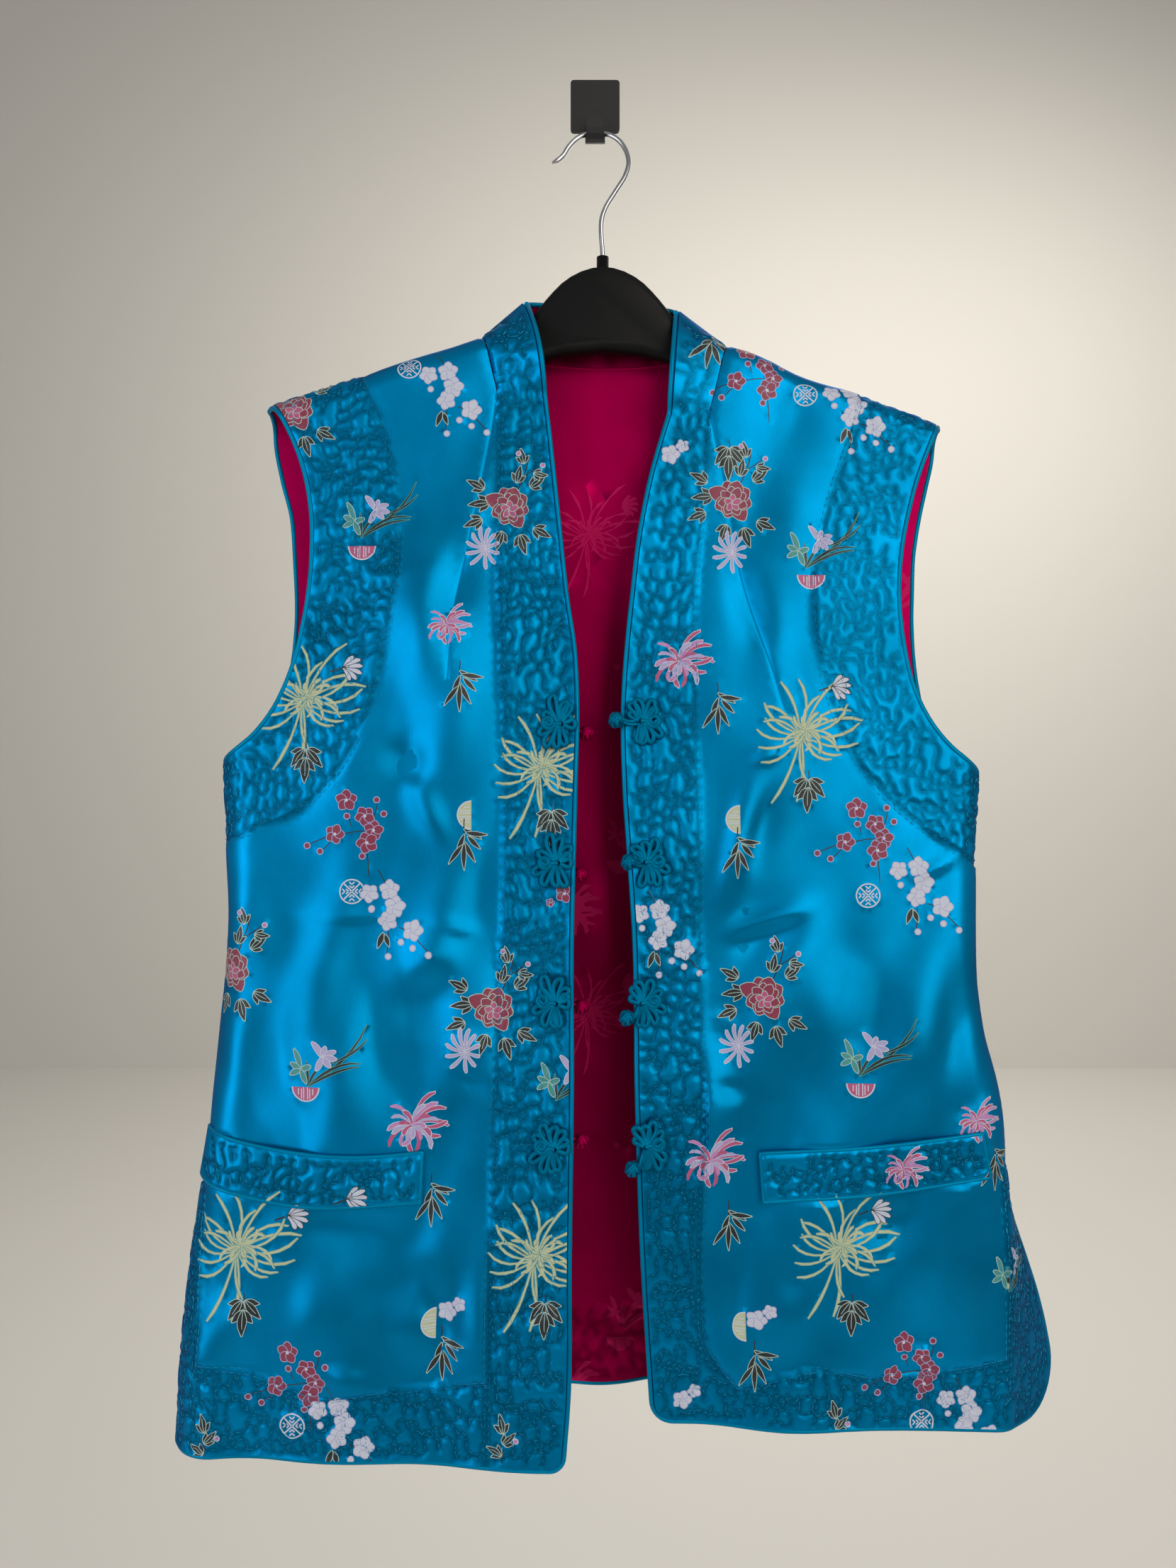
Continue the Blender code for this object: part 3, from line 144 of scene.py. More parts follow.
# The wall hook: a black steel plate with its J tongue pressed from the same sheet, satin paint.
# It is stuck on with an adhesive pad. The paint hides the metal, with a faint orange-peel skin.
wall_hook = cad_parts["wall_hook"]
hook_paint, tree, shader = new_finish("black satin stoving enamel on steel")
place = add(tree, "ShaderNodeTexCoord")
peel = add(tree, "ShaderNodeTexNoise", {"Vector": place.outputs["Object"], "Scale": 900.0, "Detail": 2.0})
skin = add(tree, "ShaderNodeBump", {"Height": peel.outputs["Fac"], "Distance": 0.0001, "Strength": 0.25})
smudge = add(tree, "ShaderNodeTexNoise", {"Vector": place.outputs["Object"], "Scale": 60.0})
dull = add(
    tree, "ShaderNodeMapRange", {"Value": smudge.outputs["Fac"], "To Min": 0.38, "To Max": 0.55}
)
set_shader(
    tree,
    shader,
    {
        "Base Color": linear("#0F1012"),
        "Roughness": dull.outputs["Result"],
        "Normal": skin.outputs["Normal"],
    },
)
wall_hook.data.materials.clear()
wall_hook.data.materials.append(hook_paint)

# The wire hook: 3 mm steel wire, bent cold and chromed. It leaves the hanger's ferrule, leans
# back to the wall hook and ends in a rounded tip. Chrome is a mirror with faint drawing lines.
WIRE_RADIUS = 1.5
SHARP_ANGLE = 60
WIRE_ROUTE = [
    (4.4, -20.5, -100.7), (4.5, -19.5, -75), (5.9, -18.8, -71), (11.9, -16.5, -60),
    (18.5, -13.5, -47.6), (20.2, -11.8, -40), (18.6, -9.8, -31.6), (14.2, -8.4, -24.5),
    (8.7, -7.5, -20.7), (-0.3, -7, -19.6), (-6.6, -7, -20.3), (-11, -7.2, -22.8),
    (-16.5, -8, -28.9), (-19.3, -8.7, -33.8), (-22.6, -9.3, -37), (-25.9, -9.6, -38.8),
]  # fmt: skip


def smooth(places, knots, values):
    """Values at the places on a smooth line through the knots, level past both ends."""
    knots = np.asarray(knots, float)
    values = np.asarray(values, float)
    places = np.clip(places, knots[0], knots[-1])
    slopes = np.gradient(values, knots)
    low = np.clip(np.searchsorted(knots, places, side="right") - 1, 0, len(knots) - 2)
    width = knots[low + 1] - knots[low]
    t = (places - knots[low]) / width
    rise = (1 + 2 * t) * (1 - t) ** 2 * values[low] + t * (1 - t) ** 2 * width * slopes[low]
    fall = t * t * (3 - 2 * t) * values[low + 1] - t * t * (1 - t) * width * slopes[low + 1]
    return rise + fall


def run_along(line):
    """How far along a line each of its points lies."""
    return np.concatenate([[0], np.cumsum(np.linalg.norm(np.diff(line, axis=0), axis=1))])


def resampled(line, step):
    """The same line with an even number of equal steps, smooth through its points."""
    line = np.asarray(line, float)
    run = run_along(line)
    count = 2 * max(1, round(run[-1] / step / 2))
    places = np.linspace(0, run[-1], count + 1)
    return np.stack([smooth(places, run, line[:, k]) for k in range(line.shape[1])], axis=1)


def add_mesh(name, points, faces, finishes, uv=None, face_finish=None, hollow=None):
    """A mesh from points in millimetres; uv gives each point's place on the cloth in millimetres,
    and hollow how near it lies to the quilting thread, from 0 to 1, where the satin paints shade."""
    mesh = bpy.data.meshes.new(name)
    mesh.from_pydata((np.asarray(points) * MM).tolist(), [], faces)
    for finish in finishes:
        mesh.materials.append(finish)
    if face_finish is not None:
        mesh.polygons.foreach_set("material_index", np.asarray(face_finish, np.int32))
    if uv is not None:
        corners = np.empty(len(mesh.loops), np.int32)
        mesh.loops.foreach_get("vertex_index", corners)
        layer = mesh.uv_layers.new(name="cloth")
        layer.data.foreach_set("uv", (np.asarray(uv)[corners] * MM).astype(np.float32).ravel())
    if hollow is not None:
        layer = mesh.attributes.new("hollow", "FLOAT", "POINT")
        layer.data.foreach_set("value", np.asarray(hollow, np.float32))
    mesh.shade_smooth()
    mesh.set_sharp_from_angle(angle=math.radians(SHARP_ANGLE))
    thing = bpy.data.objects.new(name, mesh)
    bpy.context.collection.objects.link(thing)
    return thing


def tube_rings(points, radii, sides, closed=False):
    """Rings of a round tube along points, turned as little as can be from one to the next."""
    points = np.asarray(points, float)
    count = len(points)
    if closed:
        along = np.roll(points, -1, axis=0) - np.roll(points, 1, axis=0)
    else:
        along = np.gradient(points, axis=0)
    along /= np.linalg.norm(along, axis=1, keepdims=True)
    first = np.cross(along[0], (0, 0, 1.0))
    if np.linalg.norm(first) < 0.1:
        first = np.cross(along[0], (0, 1.0, 0))
    normals = [first / np.linalg.norm(first)]
    for k in range(1, count):
        normal = normals[-1] - along[k] * (normals[-1] @ along[k])
        normals.append(normal / np.linalg.norm(normal))
    normals = np.array(normals)
    binormals = np.cross(along, normals)
    twist = np.zeros(count)
    if closed:
        last = normals[-1] - along[0] * (normals[-1] @ along[0])
        total = math.atan2(last @ binormals[0], last @ normals[0])
        twist = -total * np.arange(count) / count
    turn = np.arange(sides) * math.tau / sides + twist[:, None]
    spread = np.cos(turn)[..., None] * normals[:, None] + np.sin(turn)[..., None] * binormals[:, None]
    radii = np.broadcast_to(radii, count)[:, None, None]
    return points[:, None] + spread * radii


def tube(name, points, radii, sides, finish, closed=False):
    """A closed round tube; its UV map runs round it and along it in millimetres."""
    rings = tube_rings(points, radii, sides, closed)
    count = len(rings)
    faces = []
    for k in range(count if closed else count - 1):
        low, high = k * sides, (k + 1) % count * sides
        for s in range(sides):
            after = (s + 1) % sides
            faces.append([low + s, low + after, high + after, high + s])
    if not closed:
        faces.append(list(range(sides))[::-1])
        faces.append([(count - 1) * sides + s for s in range(sides)])
    run = run_along(points)
    round_it = np.tile(np.abs(np.arange(sides) / sides - 0.5) * 2, count)
    uv = np.stack([round_it * math.pi * np.max(radii), np.repeat(run, sides)], axis=1)
    return add_mesh(name, rings.reshape(-1, 3), faces, [finish], uv)


route = resampled(WIRE_ROUTE, 1.6)
thickness = np.full(len(route), WIRE_RADIUS)
thickness[-3:] = WIRE_RADIUS * np.array([0.96, 0.8, 0.45])
chrome, tree, shader = new_finish("bright chrome plate on drawn steel wire")
place = add(tree, "ShaderNodeTexCoord")
lines = add(tree, "ShaderNodeMapping", {"Vector": place.outputs["UV"], "Scale": (4000, 160, 1)})
drawn = add(tree, "ShaderNodeTexNoise", {"Vector": lines.outputs["Vector"], "Scale": 1.0})
haze = add(tree, "ShaderNodeMapRange", {"Value": drawn.outputs["Fac"], "To Min": 0.14, "To Max": 0.3})
set_shader(
    tree,
    shader,
    {"Base Color": linear("#C3C4C8"), "Metallic": 1.0, "Roughness": haze.outputs["Result"]},
)
wire_hook = tube("chromed_wire_hook", route, thickness, 20, chrome)
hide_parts("wire_hook")
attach(wire_hook, "root")

# The hanger: one injection moulding in black ABS, with a broad dome for the collar, sloping arms
# and a ferrule round the wire. The mould's spark-eroded skin makes it matt, with a soft sheen.
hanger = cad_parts["hanger"]
moulded, tree, shader = new_finish("matt black ABS, spark-eroded mould skin")
place = add(tree, "ShaderNodeTexCoord")
grit = add(tree, "ShaderNodeTexNoise", {"Vector": place.outputs["Object"], "Scale": 1400.0, "Detail": 3.0})
skin = add(tree, "ShaderNodeBump", {"Height": grit.outputs["Fac"], "Distance": 0.0001, "Strength": 0.4})
rub = add(tree, "ShaderNodeTexNoise", {"Vector": place.outputs["Object"], "Scale": 22.0, "Detail": 5.0})
tone = add(tree, "ShaderNodeMix", {"Factor": rub.outputs["Fac"]}, data_type="RGBA")
tone.inputs["A"].default_value = linear("#050607")
tone.inputs["B"].default_value = linear("#0B0C0D")
set_shader(
    tree,
    shader,
    {
        "Base Color": tone.outputs["Result"],
        "Roughness": 0.5,
        "Specular IOR Level": 0.18,
        "Normal": skin.outputs["Normal"],
    },
)
smooth_hanger = hanger.copy()
smooth_hanger.data = hanger.data.copy()
smooth_hanger.name = "moulded_hanger"
bpy.context.collection.objects.link(smooth_hanger)
smooth_hanger.data.materials.clear()
smooth_hanger.data.materials.append(moulded)
body = bmesh.new()
body.from_mesh(smooth_hanger.data)
bmesh.ops.remove_doubles(body, verts=body.verts, dist=0.02 * MM)
body.to_mesh(smooth_hanger.data)
body.free()
smooth_hanger.data.shade_smooth()
smooth_hanger.data.set_sharp_from_angle(angle=math.radians(32))
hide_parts("hanger")
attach(smooth_hanger, "root")

# The right front: turquoise satin brocade over wadding, quilted by machine at its borders, with
# a dart from the collar and a collar grown on. It hangs on the hanger's arm and folds at the side.
SHELL = 2.0
SEAM_GAP = 0.3
ROLL = 14.0
RIDGE_Y = -21.0
FRONT_ROLL_ARC = 23.6
SEAM_Y = -16.0
SIDE_ROUND = 0.45
COLLAR_RUN = 54.0
COLLAR_TOP_Y = -22.0
VENT_TOP = -640.0
NORMAL_STEP = 0.5
EDGE_STEP = 2.0
PLAIN_STEP = 3.6
QUILTED_STEP = 1.8
INNER_STEP = 14.0
QUILT_ROW = 7.2
QUILT_LOW = -0.3
QUILT_RISE = 0.95
QUILT_SOFTNESS = 1.6
WEFT_RISE = 0.12
DEEPEST = -1.5
SEAM_SOFTNESS = 2.4
EDGE_SOFTNESS = 1.6
QUILT_MARGIN = 2.2
DOUBLE_ROW = 2.4
SEARCH_STEP = 0.5
THREAD_THICK = 0.3
# Painted shade in the quilting's hollows: how far from the thread it reaches, and how much it darkens the
# satin.
HOLLOW_REACH = 1.5
HOLLOW_SHADE = 0.62

Section = namedtuple("Section", "height fold_x seam_x front_y")
Spot = namedtuple("Spot", "out height")
Fold = namedtuple("Fold", "top_out top_height low_out low_height top_width low_width rise ends")
Fullness = namedtuple("Fullness", "out height radius rise")
Front = namedtuple(
    "Front",
    "side sections neck tip notch collar_top collar_lean opening armhole hem front_corner"
    " vent_corner welt_top welt_foot folds fullness frogs buttons band_seam armhole_seam"
    " hem_seam vent_seam dart",
)


def rows_of(kind, *rows):
    """A table's rows, each with the kind's named columns."""
    return [kind(*row) for row in rows]


RIGHT = Front(
    side=-1,
    sections=rows_of(
        Section, (-800, 242, 235, -78), (-735, 239, 232, -76), (-671, 232, 226, -73),
        (-616, 223, 218, -70), (-575, 218.5, 214, -67), (-506, 215.5, 211, -62),
        (-437, 215.5, 211, -58), (-402, 218, 213, -56), (-250, 220, 215, -43),
        (-140, 222, 216, -36),
    ),
    neck=Spot(68, -150),
    tip=Spot(195, -192),
    notch=Spot(57, -188),
    collar_top=Spot(43, -129),
    collar_lean=(32.6, -58, -158),
    opening=rows_of(
        Spot, (31, -188), (28, -214), (25, -242), (22, -270), (18, -307), (13.5, -338), (12, -370),
        (13, -415), (15, -500), (15, -590), (16, -673), (17, -757), (19, -781),
    ),
    armhole=rows_of(
        Spot, (179, -204), (169, -227), (163, -255), (162, -285), (165.5, -320), (173, -352),
        (185, -377), (196, -390), (217, -402), (247, -406),
    ),
    hem=rows_of(Spot, (25, -787), (130, -785.5), (236, -783)),
    front_corner=6,
    vent_corner=20,
    welt_top=rows_of(Spot, (220, -607), (172, -617), (116, -620), (96, -618.5)),
    welt_foot=rows_of(Spot, (97, -646), (164, -647), (226.5, -634)),
    folds=rows_of(
        Fold, (195, -690, 190, -830, 14, 24, -7, "open"), (100, -500, 95, -760, 20, 24, -4, "open"),
        (40, -560, 30, -840, 28, 45, 6, "open"), (150, -470, 140, -700, 25, 28, 4, "closed"),
        (100, -250, 105, -370, 17, 20, 4, "closed"),
        # The creases below are finer than the solid's form.
        (72, -255, 90, -345, 5, 9, -3.5, "closed"), (96, -285, 101, -378, 8, 10, 3.2, "closed"),
        (114, -383, 98, -420, 7, 7, -3.5, "closed"), (108, -402, 80, -458, 6, 5, 3.2, "closed"),
        (178, -488, 96, -489, 2.0, 2.4, 1.9, "closed"), (98, -489, 60, -499, 3, 3, 1.6, "closed"),
        (80, -488, 118, -540, 9, 14, 3.5, "closed"), (92, -508, 92, -560, 9, 10, -3.8, "closed"),
        (80, -574, 55, -589, 3, 3, -1.4, "closed"), (86, -556, 57, -563, 4, 3, 1.4, "closed"),
        (205, -455, 150, -520, 9, 12, -2.6, "closed"), (212, -520, 190, -600, 8, 10, 2.6, "closed"),
        (180, -655, 90, -668, 9, 9, -3.2, "closed"), (100, -672, 72, -742, 8, 6, -3.2, "closed"),
        (112, -690, 88, -738, 12, 9, 3.8, "closed"), (200, -690, 196, -742, 7, 8, 2.6, "closed"),
        (160, -735, 118, -746, 4, 4, 1.9, "closed"),
    ),
    fullness=[Fullness(84, -370, 55, 5), Fullness(140, -705, 30, 2.5), Fullness(160, -560, 30, 1.5)],
    frogs=rows_of(Spot, (25.5, -381), (27, -459), (28, -537), (28.7, -616)),
    buttons=rows_of(Spot, (5, -385), (9, -466), (8, -540), (8, -614)),
    band_seam=rows_of(
        Spot, (57, -188), (57, -290), (54.5, -345), (52, -400), (52, -460), (54, -520), (57, -590),
        (59, -670), (59.5, -742), (60, -790),
    ),
    armhole_seam=rows_of(
        Spot, (141, -158), (136, -178), (122, -208), (115, -234), (112, -285), (119, -334),
        (129, -375), (143.5, -405), (166, -429), (204, -445), (262, -452),
    ),
    hem_seam=rows_of(
        Spot, (59.5, -742), (99, -748), (131, -751), (153, -753), (190, -739), (221, -735.5),
    ),
    vent_seam=rows_of(Spot, (221, -735.5), (220, -690), (221, -640)),
    dart=rows_of(Spot, (57, -188), (62, -219), (73, -276), (82.4, -323), (83.7, -355)),
)  # fmt: skip


def corner_arc(start, corner, end, steps):
    """A round corner from start to end, drawn towards the corner point."""
    start, corner, end = (np.asarray(point, float) for point in (start, corner, end))
    turn = np.linspace(0, math.pi / 2, steps + 1)[:, None]
    return corner + (start - corner) * (1 - np.sin(turn)) + (end - corner) * (1 - np.cos(turn))


def distances(points, line):
    """The distance from each point to the nearest place on a line."""
    line = np.asarray(line, float)
    least = np.full(len(points), np.inf)
    for start, end in zip(line[:-1], line[1:]):
        along = end - start
        reach = points - start
        share = np.clip(reach @ along / max(along @ along, 1e-9), 0, 1)
        least = np.minimum(least, np.linalg.norm(reach - share[:, None] * along, axis=1))
    return least


def falloff(distance, reach):
    """One at no distance, and less and less beyond the reach."""
    return np.exp(-((distance / reach) ** 2))


def is_inside(points, outline):
    """Whether each point lies inside a closed outline."""
    inside = np.zeros(len(points), bool)
    x, y = points.T
    for (x0, y0), (x1, y1) in zip(outline, np.roll(outline, -1, axis=0)):
        if y0 != y1:
            crosses = (y0 > y) != (y1 > y)
            inside ^= crosses & (x < x0 + (y - y0) * (x1 - x0) / (y1 - y0))
    return inside


def lattice(low, high, step):
    """A staggered lattice of points over a rectangle."""
    rows = np.arange(low[1], high[1], step * 0.87)
    columns = np.arange(low[0], high[0], step)
    column, row = (grid.ravel() for grid in np.meshgrid(np.arange(len(columns)), np.arange(len(rows))))
    return np.stack([columns[column] + (row % 2) * step / 2, rows[row]], axis=1)


def drape(out, height, folds, fullness=()):
    """How far the cloth stands out of its plain form, from its folds and fullness."""
    total = np.zeros(np.shape(out))
    for fold in folds:
        top = np.array([fold.top_out, fold.top_height])
        line = np.array([fold.low_out, fold.low_height]) - top
        length = np.hypot(*line)
        share = ((out - top[0]) * line[0] + (height - top[1]) * line[1]) / length**2
        off = ((out - top[0]) * line[1] - (height - top[1]) * line[0]) / length
        t = np.clip(share, 0, 1)
        grown = t * t * (3 - 2 * t) if fold.ends == "open" else np.sin(math.pi * t) ** 2
        width = fold.top_width + (fold.low_width - fold.top_width) * t
        total = total + fold.rise * grown * np.exp(-0.5 * (off / width) ** 2)
    for place in fullness:
        squared = (out - place.out) ** 2 + (height - place.height) ** 2
        total = total + place.rise * np.exp(-0.5 * squared / place.radius**2 * 2)
    return total


def ridge_line(front, out):
    """The height of the shoulder's ridge at a distance from the middle."""
    slope = (front.tip.height - front.neck.height) / (front.tip.out - front.neck.out)
    return front.neck.height + slope * (out - front.neck.out)


def section_at(front, height):
    knots = [row.height for row in front.sections]
    return (smooth(height, knots, [row[k] for row in front.sections]) for k in (1, 2, 3))


def front_turn(front, height):
    """Where the front starts to turn back at the side, its radius, its angle and its length."""
    fold, seam, face = section_at(front, height)
    angle = np.arctan2(SEAM_Y - face, seam - fold)
    radius = SIDE_ROUND * (SEAM_Y - face)
    reach = radius * np.tan(angle / 2)
    start = fold - reach
    flat_seam = start + radius * angle + np.hypot(seam - fold, SEAM_Y - face) - reach
    return face, start, radius, angle, flat_seam


def over_shoulder(x, y, height, line, arc):
    """Rolls the cloth above the shoulder's turn over to the ridge."""
    bend = np.clip((height - (line - ROLL)) / arc, 0, 1.2) * math.pi / 2
    z = np.where(bend > 0, line - ROLL + ROLL * np.sin(bend), height)
    return np.stack([x, RIDGE_Y + (y - RIDGE_Y) * np.cos(bend), z], axis=-1)


def front_body(front, out, height):
    """The front's main form, without its collar."""
    face, start, radius, angle, _ = front_turn(front, height)
    turn = np.clip((out - start) / radius, 0, angle)
    past = np.maximum(out - start - radius * angle, 0)
    lift = drape(out, height, front.folds, front.fullness)
    x = np.minimum(out, start) + radius * np.sin(turn) + past * np.cos(angle)
    y = face + radius * (1 - np.cos(turn)) + past * np.sin(angle)
    x = x + lift * np.sin(turn)
    y = y - lift * np.cos(turn)
    rolled = over_shoulder(x, y, height, ridge_line(front, x), FRONT_ROLL_ARC)
    return rolled * (front.side, 1, 1)


def front_collar(front, out, height):
    """The grown-on collar: ruled from the neck seam to the edge that runs up round the neck."""
    tau = (height - front.notch.height) / COLLAR_RUN
    edge = front.opening[0].out
    sigma = ((out - edge) / (front.notch.out - edge))[..., None]
    neck_flat = ridge_line(front, front.neck.out) - ROLL + FRONT_ROLL_ARC
    seam_out = front.notch.out + (front.neck.out - front.notch.out) * tau
    seam = front_body(front, seam_out, front.notch.height + (neck_flat - front.notch.height) * tau)
    low = front_body(front, np.full(1, float(edge)), np.full(1, float(front.notch.height)))[0]
    lean = np.array(front.collar_lean) * (front.side, 1, 1)
    top = np.array([front.side * front.collar_top.out, COLLAR_TOP_Y, front.collar_top.height])
    t = tau[..., None]
    rim = low * (1 - t) ** 2 + lean * 2 * t * (1 - t) + top * t * t
    inward = rim - seam
    inward = inward / np.linalg.norm(inward, axis=-1, keepdims=True)
    seam = seam + inward * 0.45 * np.clip(t * 8, 0, 1)
    return rim + (seam - rim) * sigma


def lifted(point_at, flat, lift, facing):
    """Points of a surface, their normals and their lifts."""
    first, second = flat.T
    step = NORMAL_STEP
    across = point_at(first + step, second) - point_at(first - step, second)
    up = point_at(first, second + step) - point_at(first, second - step)
    normal = np.cross(across, up) * facing
    return point_at(first, second), normal, np.reshape(lift, (-1, 1))


def moved(point, normal, lift):
    return point + normal / np.linalg.norm(normal, axis=1, keepdims=True) * lift


def front_surface(front):
    """The function that hangs this front's flat places, lifted off the cloth's form."""

    def surface(flat, lift):
        flat = np.asarray(flat, float)
        in_collar = (flat[:, 1] >= front.notch.height) & (flat[:, 0] <= front.notch.out + 0.5)

        def point_at(out, height):
            body = front_body(front, out, height)
            return np.where(in_collar[:, None], front_collar(front, out, height), body)

        point, normal, lift = lifted(point_at, flat, lift, front.side)
        top = front.notch.height + COLLAR_RUN - 1
        normal[in_collar & (flat[:, 1] > top), 1] = 0
        return moved(point, normal, lift)

    return surface


def joined(lines):
    """One open line from lines that follow on from each other."""
    return np.concatenate([lines[0]] + [line[1:] for line in lines[1:]])


def rough_ring(outline):
    """A closed line through each fourth point of an outline, quick to measure from."""
    return np.concatenate([outline[::4], outline[:1]])


def front_lines(front):
    """The flat front's edges, in order round the panel from the hem's front corner."""
    notch, corner = front.notch, front.front_corner
    top = notch.height + COLLAR_RUN - SEAM_GAP
    opening = resampled(front.opening[::-1], EDGE_STEP)
    rim = resampled([front.opening[0], (front.opening[0].out, top)], EDGE_STEP)
    collar_end = resampled([(front.opening[0].out, top), (notch.out, top)], EDGE_STEP)
    slit = resampled([(notch.out, top), notch], EDGE_STEP)
    flat_top = ROLL - FRONT_ROLL_ARC + SEAM_GAP / 2
    neck_end = (front.neck.out, ridge_line(front, front.neck.out) - flat_top)
    neck = resampled([notch, neck_end], EDGE_STEP)
    tip = front.tip.out - 2
    tip_end = (tip, ridge_line(front, tip) - flat_top)
    shoulder = resampled([neck_end, tip_end], EDGE_STEP)
    armhole = resampled([tip_end, *front.armhole], EDGE_STEP)
    heights = np.linspace(front.armhole[-1].height, VENT_TOP, 21)
    side = np.stack([front_turn(front, heights)[4] - SEAM_GAP / 2, heights], axis=1)
    armhole[-1] = side[0]
    vent_end = front.hem[-1].height + front.vent_corner
    heights = np.linspace(VENT_TOP, vent_end, 13)
    vent = np.stack([front_turn(front, heights)[4] - SEAM_GAP / 2, heights], axis=1)
    hem = resampled(front.hem[::-1], EDGE_STEP)
    vent_point = (vent[-1, 0], hem[0, 1])
    hem[:, 0] += np.linspace(vent[-1, 0] - front.vent_corner - hem[0, 0], 0, len(hem))
    arc = corner_arc(vent[-1], vent_point, hem[0], 10)
    front_arc = corner_arc(hem[-1], (opening[0, 0], hem[-1, 1]), opening[0], 8)
    return {
        "opening": opening,
        "rim": rim,
        "collar_end": collar_end,
        "slit": slit,
        "neck": neck,
        "shoulder": shoulder,
        "armhole": armhole,
        "side": resampled(side, EDGE_STEP),
        "vent": resampled(vent, EDGE_STEP),
        "vent_arc": arc,
        "hem": hem,
        "front_arc": front_arc,
    }


def quilting_rows(low, high, seed):
    """Machine quilting in little clouds: rows of round scallops, some of them turned over."""
    chance = np.random.default_rng(seed)
    turns = chance.uniform(0, math.tau, 6)
    rows = []
    for height in np.arange(low[1] - QUILT_ROW, high[1] + QUILT_ROW, QUILT_ROW):
        out = low[0] - chance.uniform(4, 12)
        row = []
        while out < high[0] + 10:
            width = chance.uniform(4.5, 10.5)
            over = 1 if chance.random() < 0.6 else -1
            reach = math.radians(chance.uniform(95, 135))
            turn = np.linspace(-reach, reach, 13)
            arc_x = out + width / 2 + width * 0.56 * np.sin(turn)
            arc_y = height + over * width * 0.55 * (np.cos(turn) - math.cos(reach))
            row.append(np.stack([arc_x, arc_y + chance.uniform(-1.4, 1.4)], axis=1))
            out += width
        row = np.concatenate(row)
        x, y = row.T
        sway_x = np.sin(y / 9 + x / 31 + turns[0]) + np.sin(y / 17 - x / 13 + turns[1])
        sway_y = np.sin(x / 8 + y / 29 + turns[2]) + np.sin(x / 15 - y / 12 + turns[3])
        rows.append(row + 1.7 * np.stack([sway_x, sway_y], axis=1))
    return rows


def pieces_within(line, is_kept):
    """The stretches of a line whose points are all kept."""
    kept = is_kept(line)
    stretches, start = [], None
    for k in range(len(line) + 1):
        if k < len(line) and kept[k]:
            start = k if start is None else start
        elif start is not None:
            if k - start > 3:
                stretches.append(line[start:k])
            start = None
    return stretches


def twin(line, apart):
    """Two lines side by side, as a double row of stitching."""
    along = np.gradient(line, axis=0)
    across = np.stack([-along[:, 1], along[:, 0]], axis=1)
    across /= np.linalg.norm(across, axis=1, keepdims=True)
    return [line + across * apart / 2, line - across * apart / 2]


def tree_of(lines, step):
    """A search tree of places spaced along many lines."""
    places = []
    for line in lines:
        run = run_along(line)
        spots = np.arange(0, run[-1], step)
        places.append(np.stack([np.interp(spots, run, line[:, k]) for k in (0, 1)], axis=1))
    places = np.concatenate(places)
    found = kdtree.KDTree(len(places))
    for k, (x, y) in enumerate(places):
        found.insert((x, y, 0), k)
    found.balance()
    return found


def puff(near):
    """The quilting's relief at a distance from its thread."""
    return QUILT_LOW + QUILT_RISE * (1 - falloff(near, QUILT_SOFTNESS))


def well_inside(points, ring, margin=QUILT_MARGIN):
    return is_inside(points, ring) & (distances(points, ring) > margin)


def within_any(zones):
    """The function that says which places lie in any of the zones."""
    return lambda points: np.any([is_inside(points, zone) for zone in zones], axis=0)


def clouds_within(outline, seed, is_kept):
    """The quilting of a panel: the stretches of its rows that are kept."""
    rows = quilting_rows(outline.min(axis=0), outline.max(axis=0), seed)
    return [stretch for row in rows for stretch in pieces_within(row, is_kept)]


def seam_rows(lines, ring):
    """The double rows of stitching beside seams, within a panel's ring."""
    stretches = []
    for line in lines:
        for row in twin(resampled(line, 2), DOUBLE_ROW):
            stretches += pieces_within(row, lambda points: is_inside(points, ring))
    return stretches


def mirrored(shapes, side):
    """Woven shapes turned over for the side that has its out to the left."""
    return [(line * (side, 1), number) for line, number in shapes]


def hollows(sewn, is_quilted=None):
    """The function that says how near a flat place is to the quilting's thread, from 0 to 1."""

    def hollow_at(flat):
        near = falloff(nearest(sewn, flat), HOLLOW_REACH)
        return near if is_quilted is None else near * is_quilted(flat)

    return hollow_at


def nearest(found, points):
    """Each point's distance to the nearest place in a search tree."""
    return np.array([found.find((x, y, 0))[2] for x, y in points])


def ripple(points, seed):
    """The small unevenness of padded satin that has been worn and hung: a sum of slow waves."""
    chance = np.random.default_rng(seed)
    total = np.zeros(len(points))
    for size, rise in [(74, 0.4)] * 5 + [(36, 0.13)] * 5:
        turn = chance.uniform(-0.9, 0.9)
        wave = math.tau / (size * chance.uniform(0.7, 1.3))
        ahead = points[:, 0] * math.cos(turn) + points[:, 1] * math.sin(turn) * 0.6
        total += rise * np.sin(ahead * wave + chance.uniform(0, math.tau))
    return total


def rim_edges(faces):
    """The edges that only one face uses, in that face's direction."""
    seen = {}
    for a, b, c in faces:
        for pair in ((a, b), (b, c), (c, a)):
            key = (min(pair), max(pair))
            seen[key] = None if key in seen else pair
    return [pair for pair in seen.values() if pair]


def cloth_points(outline, is_quilted, fine_step, plain_step):
    """Places for a panel's mesh: close together where it is quilted, wider in the plain cloth."""
    ring = rough_ring(outline)
    low, high = outline.min(axis=0), outline.max(axis=0)
    fine = lattice(low, high, fine_step)
    fine = fine[is_quilted(fine)]
    fine = fine[is_inside(fine, ring)]
    plain = lattice(low, high, plain_step)
    plain = plain[is_inside(plain, ring)]
    plain = plain[~is_quilted(plain)]
    fine = fine[distances(fine, ring) > fine_step * 0.8]
    plain = plain[distances(plain, ring) > plain_step * 0.5]
    return np.concatenate([fine, plain])


